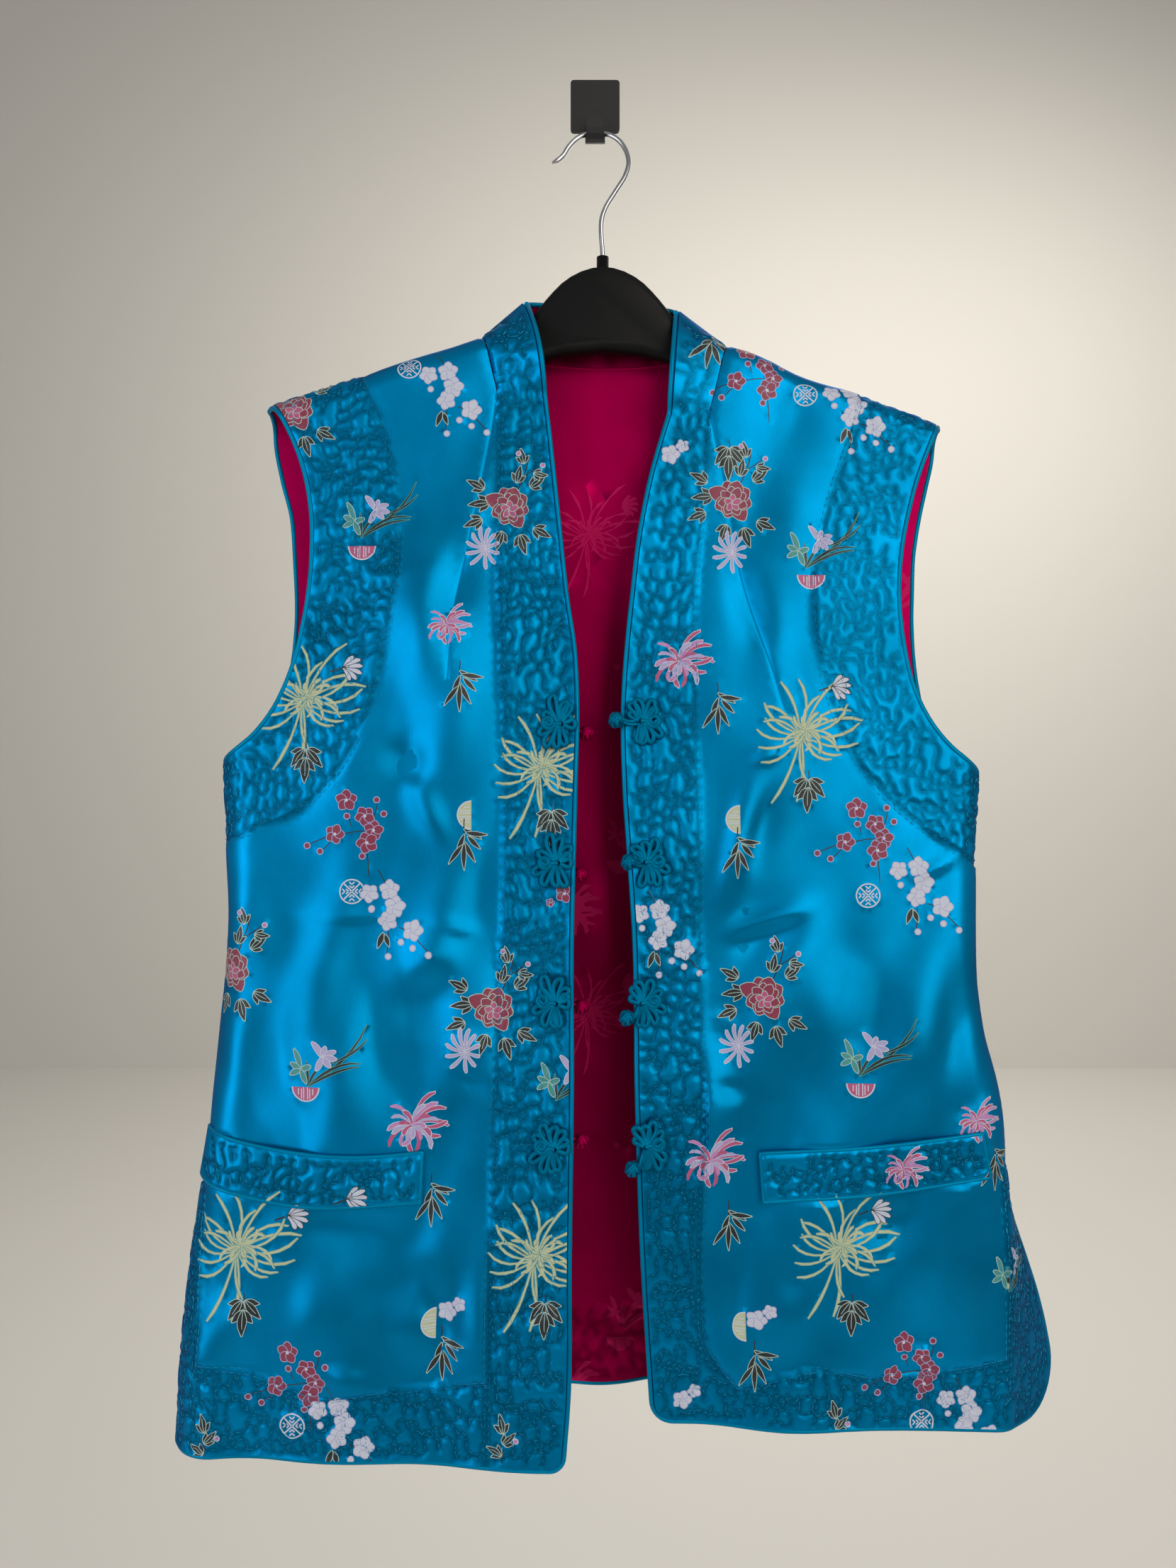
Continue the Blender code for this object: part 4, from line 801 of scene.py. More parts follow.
def triangulated(outline, inside, shapes=()):
    """Triangles of a flat outline through all the points, cut along the shapes' outlines too."""
    count = len(outline)
    edges = [(i, (i + 1) % count) for i in range(count)]
    points = [outline, inside]
    first = count + len(inside)
    for shape in shapes:
        corners = len(shape)
        edges += [(first + i, first + (i + 1) % corners) for i in range(corners)]
        points.append(shape)
        first += corners
    flat = [Vector(point) for point in np.concatenate(points)]
    after = np.roll(outline, -1, axis=0)
    is_left_turning = np.sum(outline[:, 0] * after[:, 1] - outline[:, 1] * after[:, 0]) > 0
    panel = list(range(count)) if is_left_turning else list(range(count))[::-1]
    made = geometry.delaunay_2d_cdt(flat, edges, [panel], 1, 1e-4)
    faces = [list(face) for face, within in zip(made[2], made[5]) if within]
    return np.array([tuple(point) for point in made[0]]), faces


def no_hollow(flat):
    return np.zeros(len(flat))


def cloth(
    name, outline, inside, surface, lift_at, under, finishes, shapes=(), facing=1, hollow_at=no_hollow
):  # fmt: skip
    """A thin wall of cloth. Its seen side is fine and takes woven shapes, each (outline, finish
    number); its hidden side is plain. lift_at gives the seen side's lift, under the hidden side's."""
    low, high = outline.min(axis=0), outline.max(axis=0)
    near = [s for s in shapes if (s[0].max(axis=0) > low).all() and (s[0].min(axis=0) < high).all()]
    flat, faces = triangulated(outline, inside, [shape for shape, _ in near])
    follow = dict(rim_edges(faces))
    start = next(iter(follow))
    rim = [start]
    while follow[rim[-1]] != start:
        rim.append(follow[rim[-1]])
    middles = flat[np.array(faces)].mean(axis=1)
    finish_of = np.zeros(len(faces), int)
    by_height = np.argsort(middles[:, 1])
    heights = middles[by_height, 1]
    for shape, number in near:
        first, last = np.searchsorted(heights, (shape[:, 1].min(), shape[:, 1].max()))
        spots = by_height[first:last]
        finish_of[spots[is_inside(middles[spots], shape)]] = number
    used = sorted({corner for face in faces for corner in face})
    place = np.full(len(flat), -1)
    place[used] = np.arange(len(used))
    raised = np.zeros(len(flat))
    for face, number in zip(faces, finish_of):
        if number:
            raised[face] = WEFT_RISE
    top = surface(flat[used], lift_at(flat[used]) + facing * raised[used])
    grid = lattice(low, high, INNER_STEP)
    ring = flat[rim]
    closed_ring = np.concatenate([ring, ring[:1]])
    grid = grid[is_inside(grid, ring)]
    grid = grid[distances(grid, closed_ring) > INNER_STEP * 0.5]
    under_flat, under_faces = triangulated(ring, grid)
    bottom = surface(under_flat, np.full(len(under_flat), float(under)))
    count = len(used)
    body = [[place[a], place[b], place[c]] for a, b, c in faces]
    body += [[count + c, count + b, count + a] for a, b, c in under_faces]
    for k, corner in enumerate(rim):
        after = (k + 1) % len(rim)
        body.append([place[corner], count + k, count + after, place[rim[after]]])
    if facing * surface_turn(surface, flat[used], body) < 0:
        body = [face[::-1] for face in body]
    numbers = np.concatenate([finish_of, np.zeros(len(body) - len(faces), int)])
    points = np.concatenate([top, bottom])
    uv = np.concatenate([flat[used], under_flat])
    hollow = np.concatenate([hollow_at(flat[used]), np.zeros(len(under_flat))])
    body = [[int(corner) for corner in face] for face in body]
    return add_mesh(name, points, body, finishes, uv, numbers, hollow)


def surface_turn(surface, flat, body):
    """Above nought where the first face of a panel looks out of the cloth, and below it if not."""
    a, b, c = surface(flat[body[0]], np.zeros(3))
    outward = surface(flat[body[0]], np.ones(3))[0] - a
    return float(np.cross(b - a, c - a) @ outward)


def stitches(name, lines, surface, lift_at, finish, long=3.2, gap=1.0):
    """Rows of separate stitches, each a slim spindle that dips into the cloth at both ends."""
    feet, heads = [], []
    for line in lines:
        run = run_along(line)
        spots = np.arange(0.3, run[-1] - long, long + gap)
        feet.append(np.stack([np.interp(spots, run, line[:, k]) for k in (0, 1)], axis=1))
        heads.append(np.stack([np.interp(spots + long, run, line[:, k]) for k in (0, 1)], axis=1))
    foot, head = np.concatenate(feet), np.concatenate(heads)
    rings = []
    middle = (foot + head) / 2
    across = head - foot
    across = np.stack([-across[:, 1], across[:, 0]], axis=1)
    across /= np.linalg.norm(across, axis=1, keepdims=True)
    ends_rise, ends_half = -0.15, 0.12
    for spot, rise, half in (
        (foot, ends_rise, ends_half),
        (middle, THREAD_THICK * 0.5, THREAD_THICK),
        (head, ends_rise, ends_half),
    ):
        base = lift_at(spot)
        rings.append(surface(spot + across * half, base + rise - THREAD_THICK * 0.4))
        rings.append(surface(spot, base + rise + THREAD_THICK))
        rings.append(surface(spot - across * half, base + rise - THREAD_THICK * 0.4))
    points = np.stack(rings, axis=1).reshape(-1, 3)
    faces = []
    for k in range(len(foot)):
        first = 9 * k
        for ring in (0, 3):
            for s in range(3):
                a, b = first + ring + s, first + ring + (s + 1) % 3
                faces.append([a, b, b + 3, a + 3])
        faces.append([first + 2, first + 1, first])
        faces.append([first + 6, first + 7, first + 8])
    made = add_mesh(name, points, faces, [finish])
    body = bmesh.new()
    body.from_mesh(made.data)
    bmesh.ops.recalc_face_normals(body, faces=body.faces)
    body.to_mesh(made.data)
    body.free()
    return made


def satin(name, dark, light, roughness, metallic):
    """Dyed silk satin. Its long warp floats throw a broad coloured gleam, streaked along them."""
    finish, tree, shader = new_finish(name)
    place = add(tree, "ShaderNodeUVMap", uv_map="cloth")
    # The real warp is 0.1 mm; the streaks stand for small groups of threads.
    warp = add(tree, "ShaderNodeMapping", {"Vector": place.outputs["UV"], "Scale": (2600, 120, 1)})
    streak = add(tree, "ShaderNodeTexNoise", {"Vector": warp.outputs["Vector"], "Scale": 1.0, "Detail": 2.0})
    cloud = add(tree, "ShaderNodeTexNoise", {"Vector": place.outputs["UV"], "Scale": 14.0, "Detail": 3.0})
    tone = add(
        tree, "ShaderNodeMapRange", {"Value": cloud.outputs["Fac"], "From Min": 0.3, "From Max": 0.7}
    )
    colour = add(tree, "ShaderNodeMix", {"Factor": tone.outputs["Result"]}, data_type="RGBA")
    colour.inputs["A"].default_value = linear(dark)
    colour.inputs["B"].default_value = linear(light)
    # Between the padded cells, near the quilting thread, the satin is painted darker: painted shade in the
    # hollows.
    painted_shade_mask = add(tree, "ShaderNodeAttribute", attribute_name="hollow")
    depth = add(tree, "ShaderNodeMath", {0: painted_shade_mask.outputs["Fac"], 1: HOLLOW_SHADE}, operation="MULTIPLY")
    shaded = add(tree, "ShaderNodeMix", {"Factor": depth.outputs["Value"]}, data_type="RGBA")
    tree.links.new(colour.outputs["Result"], shaded.inputs["A"])
    shaded.inputs["B"].default_value = [part * 0.22 for part in linear(dark)[:3]] + [1]
    rough = add(
        tree,
        "ShaderNodeMapRange",
        {"Value": streak.outputs["Fac"], "To Min": roughness - 0.06, "To Max": roughness + 0.06},
    )
    relief = add(
        tree, "ShaderNodeBump", {"Height": streak.outputs["Fac"], "Distance": 0.00012, "Strength": 0.35}
    )
    set_shader(
        tree,
        shader,
        {
            "Base Color": shaded.outputs["Result"],
            "Roughness": rough.outputs["Result"],
            "Metallic": metallic,
            "Normal": relief.outputs["Normal"],
            "Anisotropic": 0.5,
            "Specular IOR Level": 0.2,
            "Specular Tint": linear(light),
        },
    )
    return finish


THREADS = {
    "straw": "#B7C09C",
    "straw_shade": "#5E9490",
    "white": "#C4CADA",
    "lilac": "#A9A4CC",
    "pink": "#B983B6",
    "rose": "#B2507C",
    "red": "#862846",
    "ink": "#0B161C",
    "pale": "#A9C3BC",
    "jade": "#3B8E8D",
}
THREAD_NUMBER = {name: k + 1 for k, name in enumerate(THREADS)}


def thread_finish(name, code):
    """Floss silk weft: rows of flat threads laid side by side, with a soft gleam."""
    finish, tree, shader = new_finish(f"{name} floss silk weft")
    place = add(tree, "ShaderNodeUVMap", uv_map="cloth")
    weft = add(tree, "ShaderNodeMapping", {"Vector": place.outputs["UV"], "Scale": (300, 2200, 1)})
    row = add(tree, "ShaderNodeTexNoise", {"Vector": weft.outputs["Vector"], "Scale": 1.0, "Detail": 3.0})
    shade = add(tree, "ShaderNodeMapRange", {"Value": row.outputs["Fac"], "To Min": 0.72, "To Max": 1.12})
    colour = add(
        tree,
        "ShaderNodeMix",
        {"Factor": 1.0, "A": linear(code), "B": shade.outputs["Result"]},
        data_type="RGBA",
        blend_type="MULTIPLY",
    )
    relief = add(tree, "ShaderNodeBump", {"Height": row.outputs["Fac"], "Distance": 0.0002, "Strength": 0.5})
    set_shader(
        tree,
        shader,
        {
            "Base Color": colour.outputs["Result"],
            "Roughness": 0.46,
            "Normal": relief.outputs["Normal"],
            "Sheen Weight": 0.2,
        },
    )
    return finish


brocade = satin("turquoise silk satin brocade", "#0076A6", "#008DC8", 0.34, 0.74)
weft_finishes = [thread_finish(name, code) for name, code in THREADS.items()]
quilting_thread = satin("turquoise quilting thread", "#0C87B2", "#2F9FC6", 0.4, 0.2)


def zones_of(front):
    """The quilted borders of a front, each a closed flat outline."""
    inward, far, low, high = -40, 320, -830, -90
    band_end = (60, low)
    notch = front.notch
    band = [*front.band_seam, band_end, (inward, low), (inward, notch.height), front.band_seam[0]]
    armhole = [*front.armhole_seam, (far, -455), (far, high), (front.armhole_seam[0].out, high)]
    hem = [*front.hem_seam, (far, front.hem_seam[-1].height), (far, low), band_end]
    vent = [*front.vent_seam, (far, front.vent_seam[-1].height), (far, front.vent_seam[0].height)]
    collar = [(inward, notch.height), (inward, 0), (notch.out, 0), notch]
    return [np.array(zone, float) for zone in (band, armhole, hem, vent, collar)]


def make_front(front, name, seed, shapes):
    """A padded front panel with its quilting; returns the lines and functions that trims need."""
    lines = front_lines(front)
    surface = front_surface(front)
    outline = joined(list(lines.values()))[:-1]
    ring = rough_ring(outline)
    top, foot = front.welt_top, front.welt_foot
    corners = (top, [top[-1], foot[0]], foot, [foot[-1], top[0]])
    welt = joined([resampled(line, EDGE_STEP) for line in corners])[:-1]

    is_quilted = within_any(zones_of(front))

    def is_sewn(points):
        return is_quilted(points) & well_inside(points, ring) & ~is_inside(points, welt)

    clouds = clouds_within(outline, seed, is_sewn)
    seam_lines = (front.band_seam, front.armhole_seam, front.hem_seam, front.vent_seam)
    seams = seam_rows(seam_lines, ring)
    sewn = tree_of([*clouds, *seams], SEARCH_STEP)
    dart = resampled(front.dart, 1.5)
    soft_edges = joined([lines["neck"], lines["shoulder"]])[::3]
    side_edge = joined([lines["side"], lines["vent"]])[::4]

    def lift_at(flat):
        near = nearest(sewn, flat)
        plain = QUILT_LOW * falloff(near, SEAM_SOFTNESS)
        plain += ripple(flat, seed) * np.interp(flat[:, 1], (-660, -420), (2.1, 1.2))
        lift = np.where(is_quilted(flat), puff(near), plain)
        lift -= 0.55 * falloff(distances(flat, dart), 1.0)
        lift -= falloff(distances(flat, soft_edges), EDGE_SOFTNESS)
        lift -= falloff(distances(flat, side_edge), EDGE_SOFTNESS)
        lift -= 0.7 * falloff(distances(flat, lines["armhole"][::2]), 1.4)
        lift = np.maximum(lift, DEEPEST)
        return np.where(is_inside(flat, welt), np.minimum(lift, 0.1), lift)

    inside = cloth_points(outline, is_quilted, QUILTED_STEP, PLAIN_STEP)
    inside = inside[distances(inside, dart) > 3]
    beside_dart = [twin(dart, apart) for apart in (1.6, 4.0)]
    beside_dart = np.concatenate([dart[1:], *[side[1:] for pair in beside_dart for side in pair]])
    inside = np.concatenate([inside, beside_dart[is_inside(beside_dart, ring)]])
    panel = cloth(
        f"{name}_front_brocade", outline, inside, surface, lift_at, -SHELL,
        [brocade, *weft_finishes], mirrored(shapes, front.side),
        hollow_at=hollows(sewn, is_quilted),
    )  # fmt: skip
    sewing = stitches(
        f"{name}_front_stitching", [*clouds, *seams], surface, lift_at, quilting_thread
    )
    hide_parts(f"{name}_front")
    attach(panel, "root")
    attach(sewing, "root")
    return {
        "lines": lines, "surface": surface, "outline": outline, "welt": welt,
        "lift_at": lift_at, "panel": panel, "sewing": sewing,
    }  # fmt: skip


# The woven figures: ordinary garden flowers, bamboo and fret roundels in coloured floss silk, as
# on many such brocades, set out one by one. A stroke is one petal, leaf or stem along a curling line.
Stroke = namedtuple("Stroke", "x y heading long wide curl profile thread edge", defaults=("",))
PROFILES = {
    "petal": (0.3, 0.66, 0.92, 1.0, 0.94, 0.68, 0.15),
    "leaf": (0.12, 0.62, 0.96, 1.0, 0.78, 0.42, 0.04),
    "hook": (0.4, 0.5, 0.6, 0.75, 0.95, 1.0, 0.45),
    "blade": (0.35, 0.75, 1.0, 1.0, 0.85, 0.55, 0.06),
    "stem": (1.0, 1.0, 1.0, 1.0, 1.0, 0.9, 0.7),
}
EDGE_GROWTH = 0.34


def drawn(stroke, grow=0.0):
    """The closed outline of a stroke, grown all round where it is the edge behind another."""
    profile = np.array(PROFILES[stroke.profile])
    t = np.linspace(0, 1, len(profile))
    turn = np.radians(stroke.heading + stroke.curl * t**1.8)
    ahead = np.stack([np.cos(turn), np.sin(turn)], axis=1)
    step = (stroke.long + 2 * grow) / (len(t) - 1)
    foot = np.array([stroke.x, stroke.y]) - ahead[0] * grow
    middle = foot + np.concatenate([np.zeros((1, 2)), np.cumsum(ahead[:-1] * step, axis=0)])
    across = np.stack([-ahead[:, 1], ahead[:, 0]], axis=1)
    half = (stroke.wide / 2 * profile + grow)[:, None]
    return np.concatenate([middle - across * half, (middle + across * half)[::-1]])


def fewer_corners(shapes):
    """The same shapes with every second corner of each stroke, for cloth that is less seen."""
    stroke_corners = 2 * len(PROFILES["petal"])
    return [(line[::2] if len(line) == stroke_corners else line, number) for line, number in shapes]


def woven(strokes):
    """Outlines and thread numbers of strokes, each with its edge thread behind it."""
    shapes = []
    for stroke in strokes:
        if stroke.edge:
            shapes.append((drawn(stroke, EDGE_GROWTH), THREAD_NUMBER[stroke.edge]))
        shapes.append((drawn(stroke), THREAD_NUMBER[stroke.thread]))
    return shapes


def disc(x, y, radius, thread, corners=16, start=0.0, sweep=360.0):
    """A disc, or a slice of one, as an outline with its thread number; no thread is the ground."""
    turn = np.radians(start + np.linspace(0, sweep, corners, endpoint=sweep < 360))
    line = np.stack([x + radius * np.cos(turn), y + radius * np.sin(turn)], axis=1)
    return line, THREAD_NUMBER.get(thread, 0)


def bar(x0, y0, x1, y1, wide, thread):
    """A straight bar, as an outline with its thread number."""
    ahead = np.array([x1 - x0, y1 - y0], float)
    across = np.array([-ahead[1], ahead[0]]) / np.hypot(*ahead) * wide / 2
    ends = np.array([(x0, y0), (x1, y1)], float)
    return np.concatenate([ends - across, (ends + across)[::-1]]), THREAD_NUMBER.get(thread, 0)


def shifted(shapes, x, y):
    return [(outline + (x, y), number) for outline, number in shapes]


def blossom(x, y, size, fill, edge, turn=0.0):
    """A five-petalled plum blossom with a pale heart."""
    petals = [
        Stroke(x, y, turn + 72 * k, size * 0.54, size * 0.46, 0, "petal", fill, edge)
        for k in range(5)
    ]
    return woven(petals) + [disc(x, y, size * 0.09, "white", 6)]


def plum_spray(fill, edge, blossoms, buds, stems, bud_fill):
    """A plum twig: thin stems, round buds and open blossoms."""
    shapes = woven([Stroke(*stem, "stem", "ink") for stem in stems])
    for x, y in buds:
        shapes += [disc(x, y, 2.0, edge, 10), disc(x, y, 1.5, bud_fill, 8)]
    for k, (x, y, size) in enumerate(blossoms):
        shapes += blossom(x, y, size, fill, edge, 18 + 31 * k)
    return shapes


def lobed_leaf(x, y, heading, long):
    """A chrysanthemum leaf of three lobes with its midrib left pale."""
    lobes = [
        Stroke(x, y, heading + 38, long * 0.62, long * 0.26, 10, "leaf", "ink", "pale"),
        Stroke(x, y, heading - 38, long * 0.62, long * 0.26, -10, "leaf", "ink", "pale"),
        Stroke(x, y, heading, long, long * 0.34, 8, "leaf", "ink", "pale"),
    ]
    rib = Stroke(x, y, heading, long * 0.72, 0.35, 8, "stem", "pale")
    return woven([*lobes, rib])


def leaf_cluster():
    """Three chrysanthemum leaves on a stem."""
    leaves = [(1, 4, -52, 13), (-1, 4, -128, 12), (0, -1, -94, 14)]
    shapes = woven([Stroke(0, 9, -82, 22, 0.6, -10, "stem", "ink")])
    for x, y, heading, long in leaves:
        shapes += lobed_leaf(x, y, heading, long)
    return shapes


def spider_mum():
    """A large spider chrysanthemum: long hooked petals all round, short ones dense at its heart."""
    chance = np.random.default_rng(5)
    long_petals = [
        (100, 33, 40, 1.5), (66, 42, -44, 1.4), (122, 28, 70, 1.4), (84, 26, -70, 1.3),
        (48, 34, -80, 1.4), (30, 38, -60, 1.5), (12, 34, 80, 1.4), (-6, 36, 66, 1.5),
        (-24, 34, 60, 1.4), (-44, 27, 70, 1.3), (-84, 38, -34, 1.6), (-106, 42, -26, 1.6),
        (-126, 29, -76, 1.4), (-148, 26, -60, 1.3), (-166, 27, -80, 1.3), (176, 24, -80, 1.3),
        (156, 29, -64, 1.4), (138, 24, 80, 1.3), (2, 25, -90, 1.3), (-62, 24, 90, 1.3),
        (76, 33, 60, 1.3), (-96, 27, 50, 1.3),
    ]  # fmt: skip
    strokes = [
        Stroke(0, 0, heading, long, wide, curl, "hook", "straw", "straw_shade")
        for heading, long, curl, wide in long_petals
    ]
    for k in range(17):
        heading = 137.5 * k
        long = 19 - 0.7 * k + chance.uniform(-1.5, 1.5)
        curl = chance.choice([-1, 1]) * chance.uniform(60, 110)
        edge = "straw_shade" if k % 2 else ""
        strokes.append(Stroke(3, 3, heading, long, 1.7, curl, "hook", "straw", edge))
    return woven(strokes)


def curly_mum(threads, size):
    """A round chrysanthemum of short curling petals, with a few that stream out at the right."""
    chance = np.random.default_rng(9)
    streamers = [(74, 23, -70), (48, 22, -80), (18, 21, -70), (-10, 20, 60), (-36, 17, 55)]
    strokes = [
        Stroke(0, 0, heading, long * size, 2.0 * size, curl, "hook", threads[1], "white")
        for heading, long, curl in streamers
    ]
    for k in range(24):
        heading = 137.5 * k + 60
        long = (18.5 - 0.55 * k + chance.uniform(-1, 1)) * size
        curl = chance.uniform(60, 100) * (1 if math.cos(math.radians(heading)) < 0 else -1)
        tone = threads[k % len(threads)]
        edge = "white" if k % 2 == 0 else ""
        strokes.append(Stroke(0, 0, heading, long, 2.3 * size, curl, "hook", tone, edge))
    return woven(strokes)


def pale_mum():
    """A small lilac chrysanthemum with long hooked petals."""
    hooks = [
        (150, 12, -70), (120, 13, -60), (95, 12, -50), (175, 12, -50), (205, 12, -40),
        (235, 13, -30), (262, 12, 30), (-70, 10, 40), (70, 10, -40), (-30, 8, 30), (30, 8, -30),
    ]  # fmt: skip
    strokes = [
        Stroke(0, 0, heading, long, 1.8, curl, "hook", "lilac", "white") for heading, long, curl in hooks
    ]
    return woven(strokes)


def peony():
    """A peony in red with pale edges, ringed with dark leaves, and a sprig of buds above."""
    leaves = [
        (-15, 12, 150, 11), (-12, 4, 185, 12), (-16, -6, 200, 11), (-4, -13, -110, 11),
        (6, -15, -75, 12), (14, -11, -30, 11), (12, 13, 35, 10), (4, 16, 75, 10),
    ]  # fmt: skip
    shapes = woven(
        [
            Stroke(4, 10, 66, 22, 0.7, 18, "stem", "ink"),
            Stroke(9, 20, 30, 11, 0.6, 20, "stem", "ink"),
            Stroke(-4, 2, 160, 15, 0.7, -14, "stem", "ink"),
        ]
    )
    for x, y, heading, long in leaves:
        shapes += lobed_leaf(x, y, heading, long)
    shapes += lobed_leaf(8, 27, 100, 9) + lobed_leaf(14, 21, -10, 8)
    for x, y in ((19, 26), (5, 33)):
        shapes += [disc(x, y, 1.7, "white", 8), disc(x, y, 1.2, "pink", 8)]
    outer = [
        Stroke(0, 2, heading, 13 + 2 * math.sin(heading), 9, 0, "petal", "red", "pale")
        for heading in (112, 158, 206, 250, 298, 344, 30, 74)
    ]
    inner = [
        Stroke(0, 1, heading, 8.5, 5.6, 0, "petal", "red", "pale")
        for heading in (96, 140, 190, 240, 292, 340, 30, 64)
    ]
    heart = [
        Stroke(0, 0, heading, 5, 3.2, 0, "petal", "rose", "pale") for heading in (90, 162, 234, 306, 18)
    ]
    return shapes + woven([*outer, *inner, *heart])


def orchid():
    """An orchid: one lilac and one jade flower low on long thin leaves that arch to the right."""
    blades = [
        (-4, -14, 34, 46, 1.2, 44), (-4, -14, 40, 32, 1.3, -62), (-4, -14, 30, 30, 1.2, -34),
        (10, -1, 24, 22, 1.0, 36), (-4, -14, 66, 16, 1.2, -50), (-4, -14, 90, 14, 1.2, 12),
    ]  # fmt: skip
    strokes = [
        Stroke(x, y, heading, long, wide, curl, "blade", "ink", "jade")
        for x, y, heading, long, wide, curl in blades
    ]
    lilac_petals = ((118, 10, 30), (74, 6, 0), (28, 8, -20), (-8, 8, 0), (-50, 7, 10), (-110, 8, -20))
    jade_petals = ((104, 12, 24), (150, 7, 0), (200, 7, 20), (20, 6, 0), (-70, 8, 10))
    for heading, long, curl in lilac_petals:
        strokes.append(Stroke(4, 2, heading, long, 3.0, curl, "petal", "lilac", "white"))
    for heading, long, curl in jade_petals:
        strokes.append(Stroke(-8, -5, heading, long, 2.8, curl, "petal", "jade", "pale"))
    return woven(strokes)


def bamboo():
    """A twig of bamboo with narrow leaves that hang down in a fan."""
    leaves = [
        (0, 10, -32, 11), (1, 8, -8, 12), (0, 7, -112, 12), (0, 3, -64, 13), (0, 2, -92, 15),
        (-1, 1, -128, 13), (2, 6, -48, 10),
    ]  # fmt: skip
    strokes = [Stroke(0, 16, -92, 20, 0.6, 6, "stem", "ink")]
    strokes += [
        Stroke(x, y, heading, long, 2.4, 8, "leaf", "ink", "pale") for x, y, heading, long in leaves
    ]
    return woven(strokes)


def white_bud():
    """A half-open white chrysanthemum bud on a dark calyx."""
    petals = [(60, 9, -40), (36, 11, -36), (14, 11, -30), (-8, 11, -34), (-30, 10, -40), (-52, 8, -30)]
    strokes = [Stroke(-7, 1, 200, 6, 0.9, 0, "stem", "ink")]
    strokes += [
        Stroke(-5, 1, heading, long, 2.4, curl, "hook", "white", "ink") for heading, long, curl in petals
    ]
    return woven(strokes)


def roundel():
    """A fret roundel: a ring round a diagonal cross with chevrons between its arms."""
    shapes = [disc(0, 0, 7.1, "white", 28), disc(0, 0, 6.3, "", 28)]
    for turn in (45, 135, 225, 315):
        ahead = np.array([math.cos(math.radians(turn)), math.sin(math.radians(turn))])
        shapes.append(bar(*(ahead * 0.3), *(ahead * 6.4), 0.85, "white"))
    for turn in (0, 90, 180, 270):
        ahead = np.array([math.cos(math.radians(turn)), math.sin(math.radians(turn))])
        side = np.array([-ahead[1], ahead[0]])
        for point, arm in ((1.9, 1.9), (3.9, 2.0)):
            tip = ahead * point
            for way in (-1, 1):
                end = tip + (ahead + side * way) * arm * 0.72
                shapes.append(bar(*tip, *end, 0.75, "white"))
    return shapes


def half_roundel(start, thread):
    """Half a fret roundel with straight bars; its flat side is up or to the right."""
    shapes = [disc(0, 0, 8.2, "white", 18, start, 180), disc(0, 0, 7.4, thread, 18, start, 180)]
    turn = math.radians(start + 90)
    ahead = np.array([math.cos(turn), math.sin(turn)])
    side = np.array([-ahead[1], ahead[0]])
    for off in (-1.1, 1.1):
        shapes.append(bar(*(side * off), *(side * off + ahead * 6.8), 0.6, "white"))
    for way in (-1, 1):
        for near, far in ((2.4, 5.6), (4.2, 3.4)):
            begin = side * way * near + ahead * 0.8
            shapes.append(bar(*begin, *(begin + ahead * far), 0.6, "white"))
    return shapes


def sprig():
    """A short sprig with small dark leaves and two buds."""
    shapes = woven([Stroke(0, -8, 80, 18, 0.6, 10, "stem", "ink")])
    for x, y, heading, long in ((0, -4, 150, 9), (1, 2, 40, 9), (1, 8, 100, 10)):
        shapes += lobed_leaf(x, y, heading, long)
    return shapes + [disc(8, 4, 1.7, "white", 8), disc(8, 4, 1.2, "pink", 8)]


RED_PLUM = plum_spray(
    "red", "lilac",
    blossoms=[(-5.6, 12.9, 11), (4.8, 4, 10), (9.7, -4, 10), (6.1, -11, 11), (-12.1, -6.1, 10)],
    buds=[(-28, -12.6), (-20.6, -15.8), (11.3, 13.2), (15.3, 5.3), (-5.2, 4), (3.5, -18.5)],
    stems=[(-12, -6, 200, 16, 0.6, 4), (-12, -8, 225, 11, 0.6, 0), (6, -14, -84, 16, 0.6, -6),
           (-5, 8, -80, 10, 0.6, 10), (9, 0, 74, 13, 0.6, 8), (-8, -6, 10, 14, 0.6, -10)],
    bud_fill="red",
)  # fmt: skip
WHITE_PLUM = plum_spray(
    "white", "lilac",
    blossoms=[(-1.6, 10.9, 10.5), (-12.9, 8.9, 9.5), (1.6, 1.6, 11), (-2.4, -6.4, 10),
              (12, -11.6, 11)],
    buds=[(-11.6, 0.5), (5.2, -18), (12.2, -21.3), (21, -25), (-2, -26)],
    stems=[(-8, 22, -60, 18, 0.6, -10), (4, -10, -20, 12, 0.6, -30), (13, -15, -48, 13, 0.6, 10),
           (-2, -12, -92, 14, 0.6, -8)],
    bud_fill="white",
) + woven([
    Stroke(-5, -13, -110, 9, 2.8, 0, "leaf", "ink", "pale"),
    Stroke(-4, -14, -70, 7, 2.4, 0, "leaf", "ink", "pale"),
])  # fmt: skip
FIGURES = {
    "spider mum": spider_mum(),
    "rose mum": curly_mum(("pink", "rose", "lilac"), 1.0),
    "narrow mum": curly_mum(("rose", "pink"), 0.72),
    "pale mum": pale_mum(),
    "peony": peony(),
    "orchid": orchid(),
    "bamboo": bamboo(),
    "bud": white_bud(),
    "leaves": leaf_cluster(),
    "sprig": sprig(),
    "red plum": RED_PLUM,
    "white plum": WHITE_PLUM,
    "blossom": blossom(0, 0, 10, "white", "lilac") + blossom(7, 5, 7, "white", "lilac", 40),
    "red blossom": blossom(0, 0, 9, "red", "lilac") + blossom(-8, -5, 4, "red", "lilac"),
    "roundel": roundel(),
    "low half": half_roundel(180, "rose"),
    "side half": half_roundel(90, "straw"),
}
Place = namedtuple("Place", "figure x height")


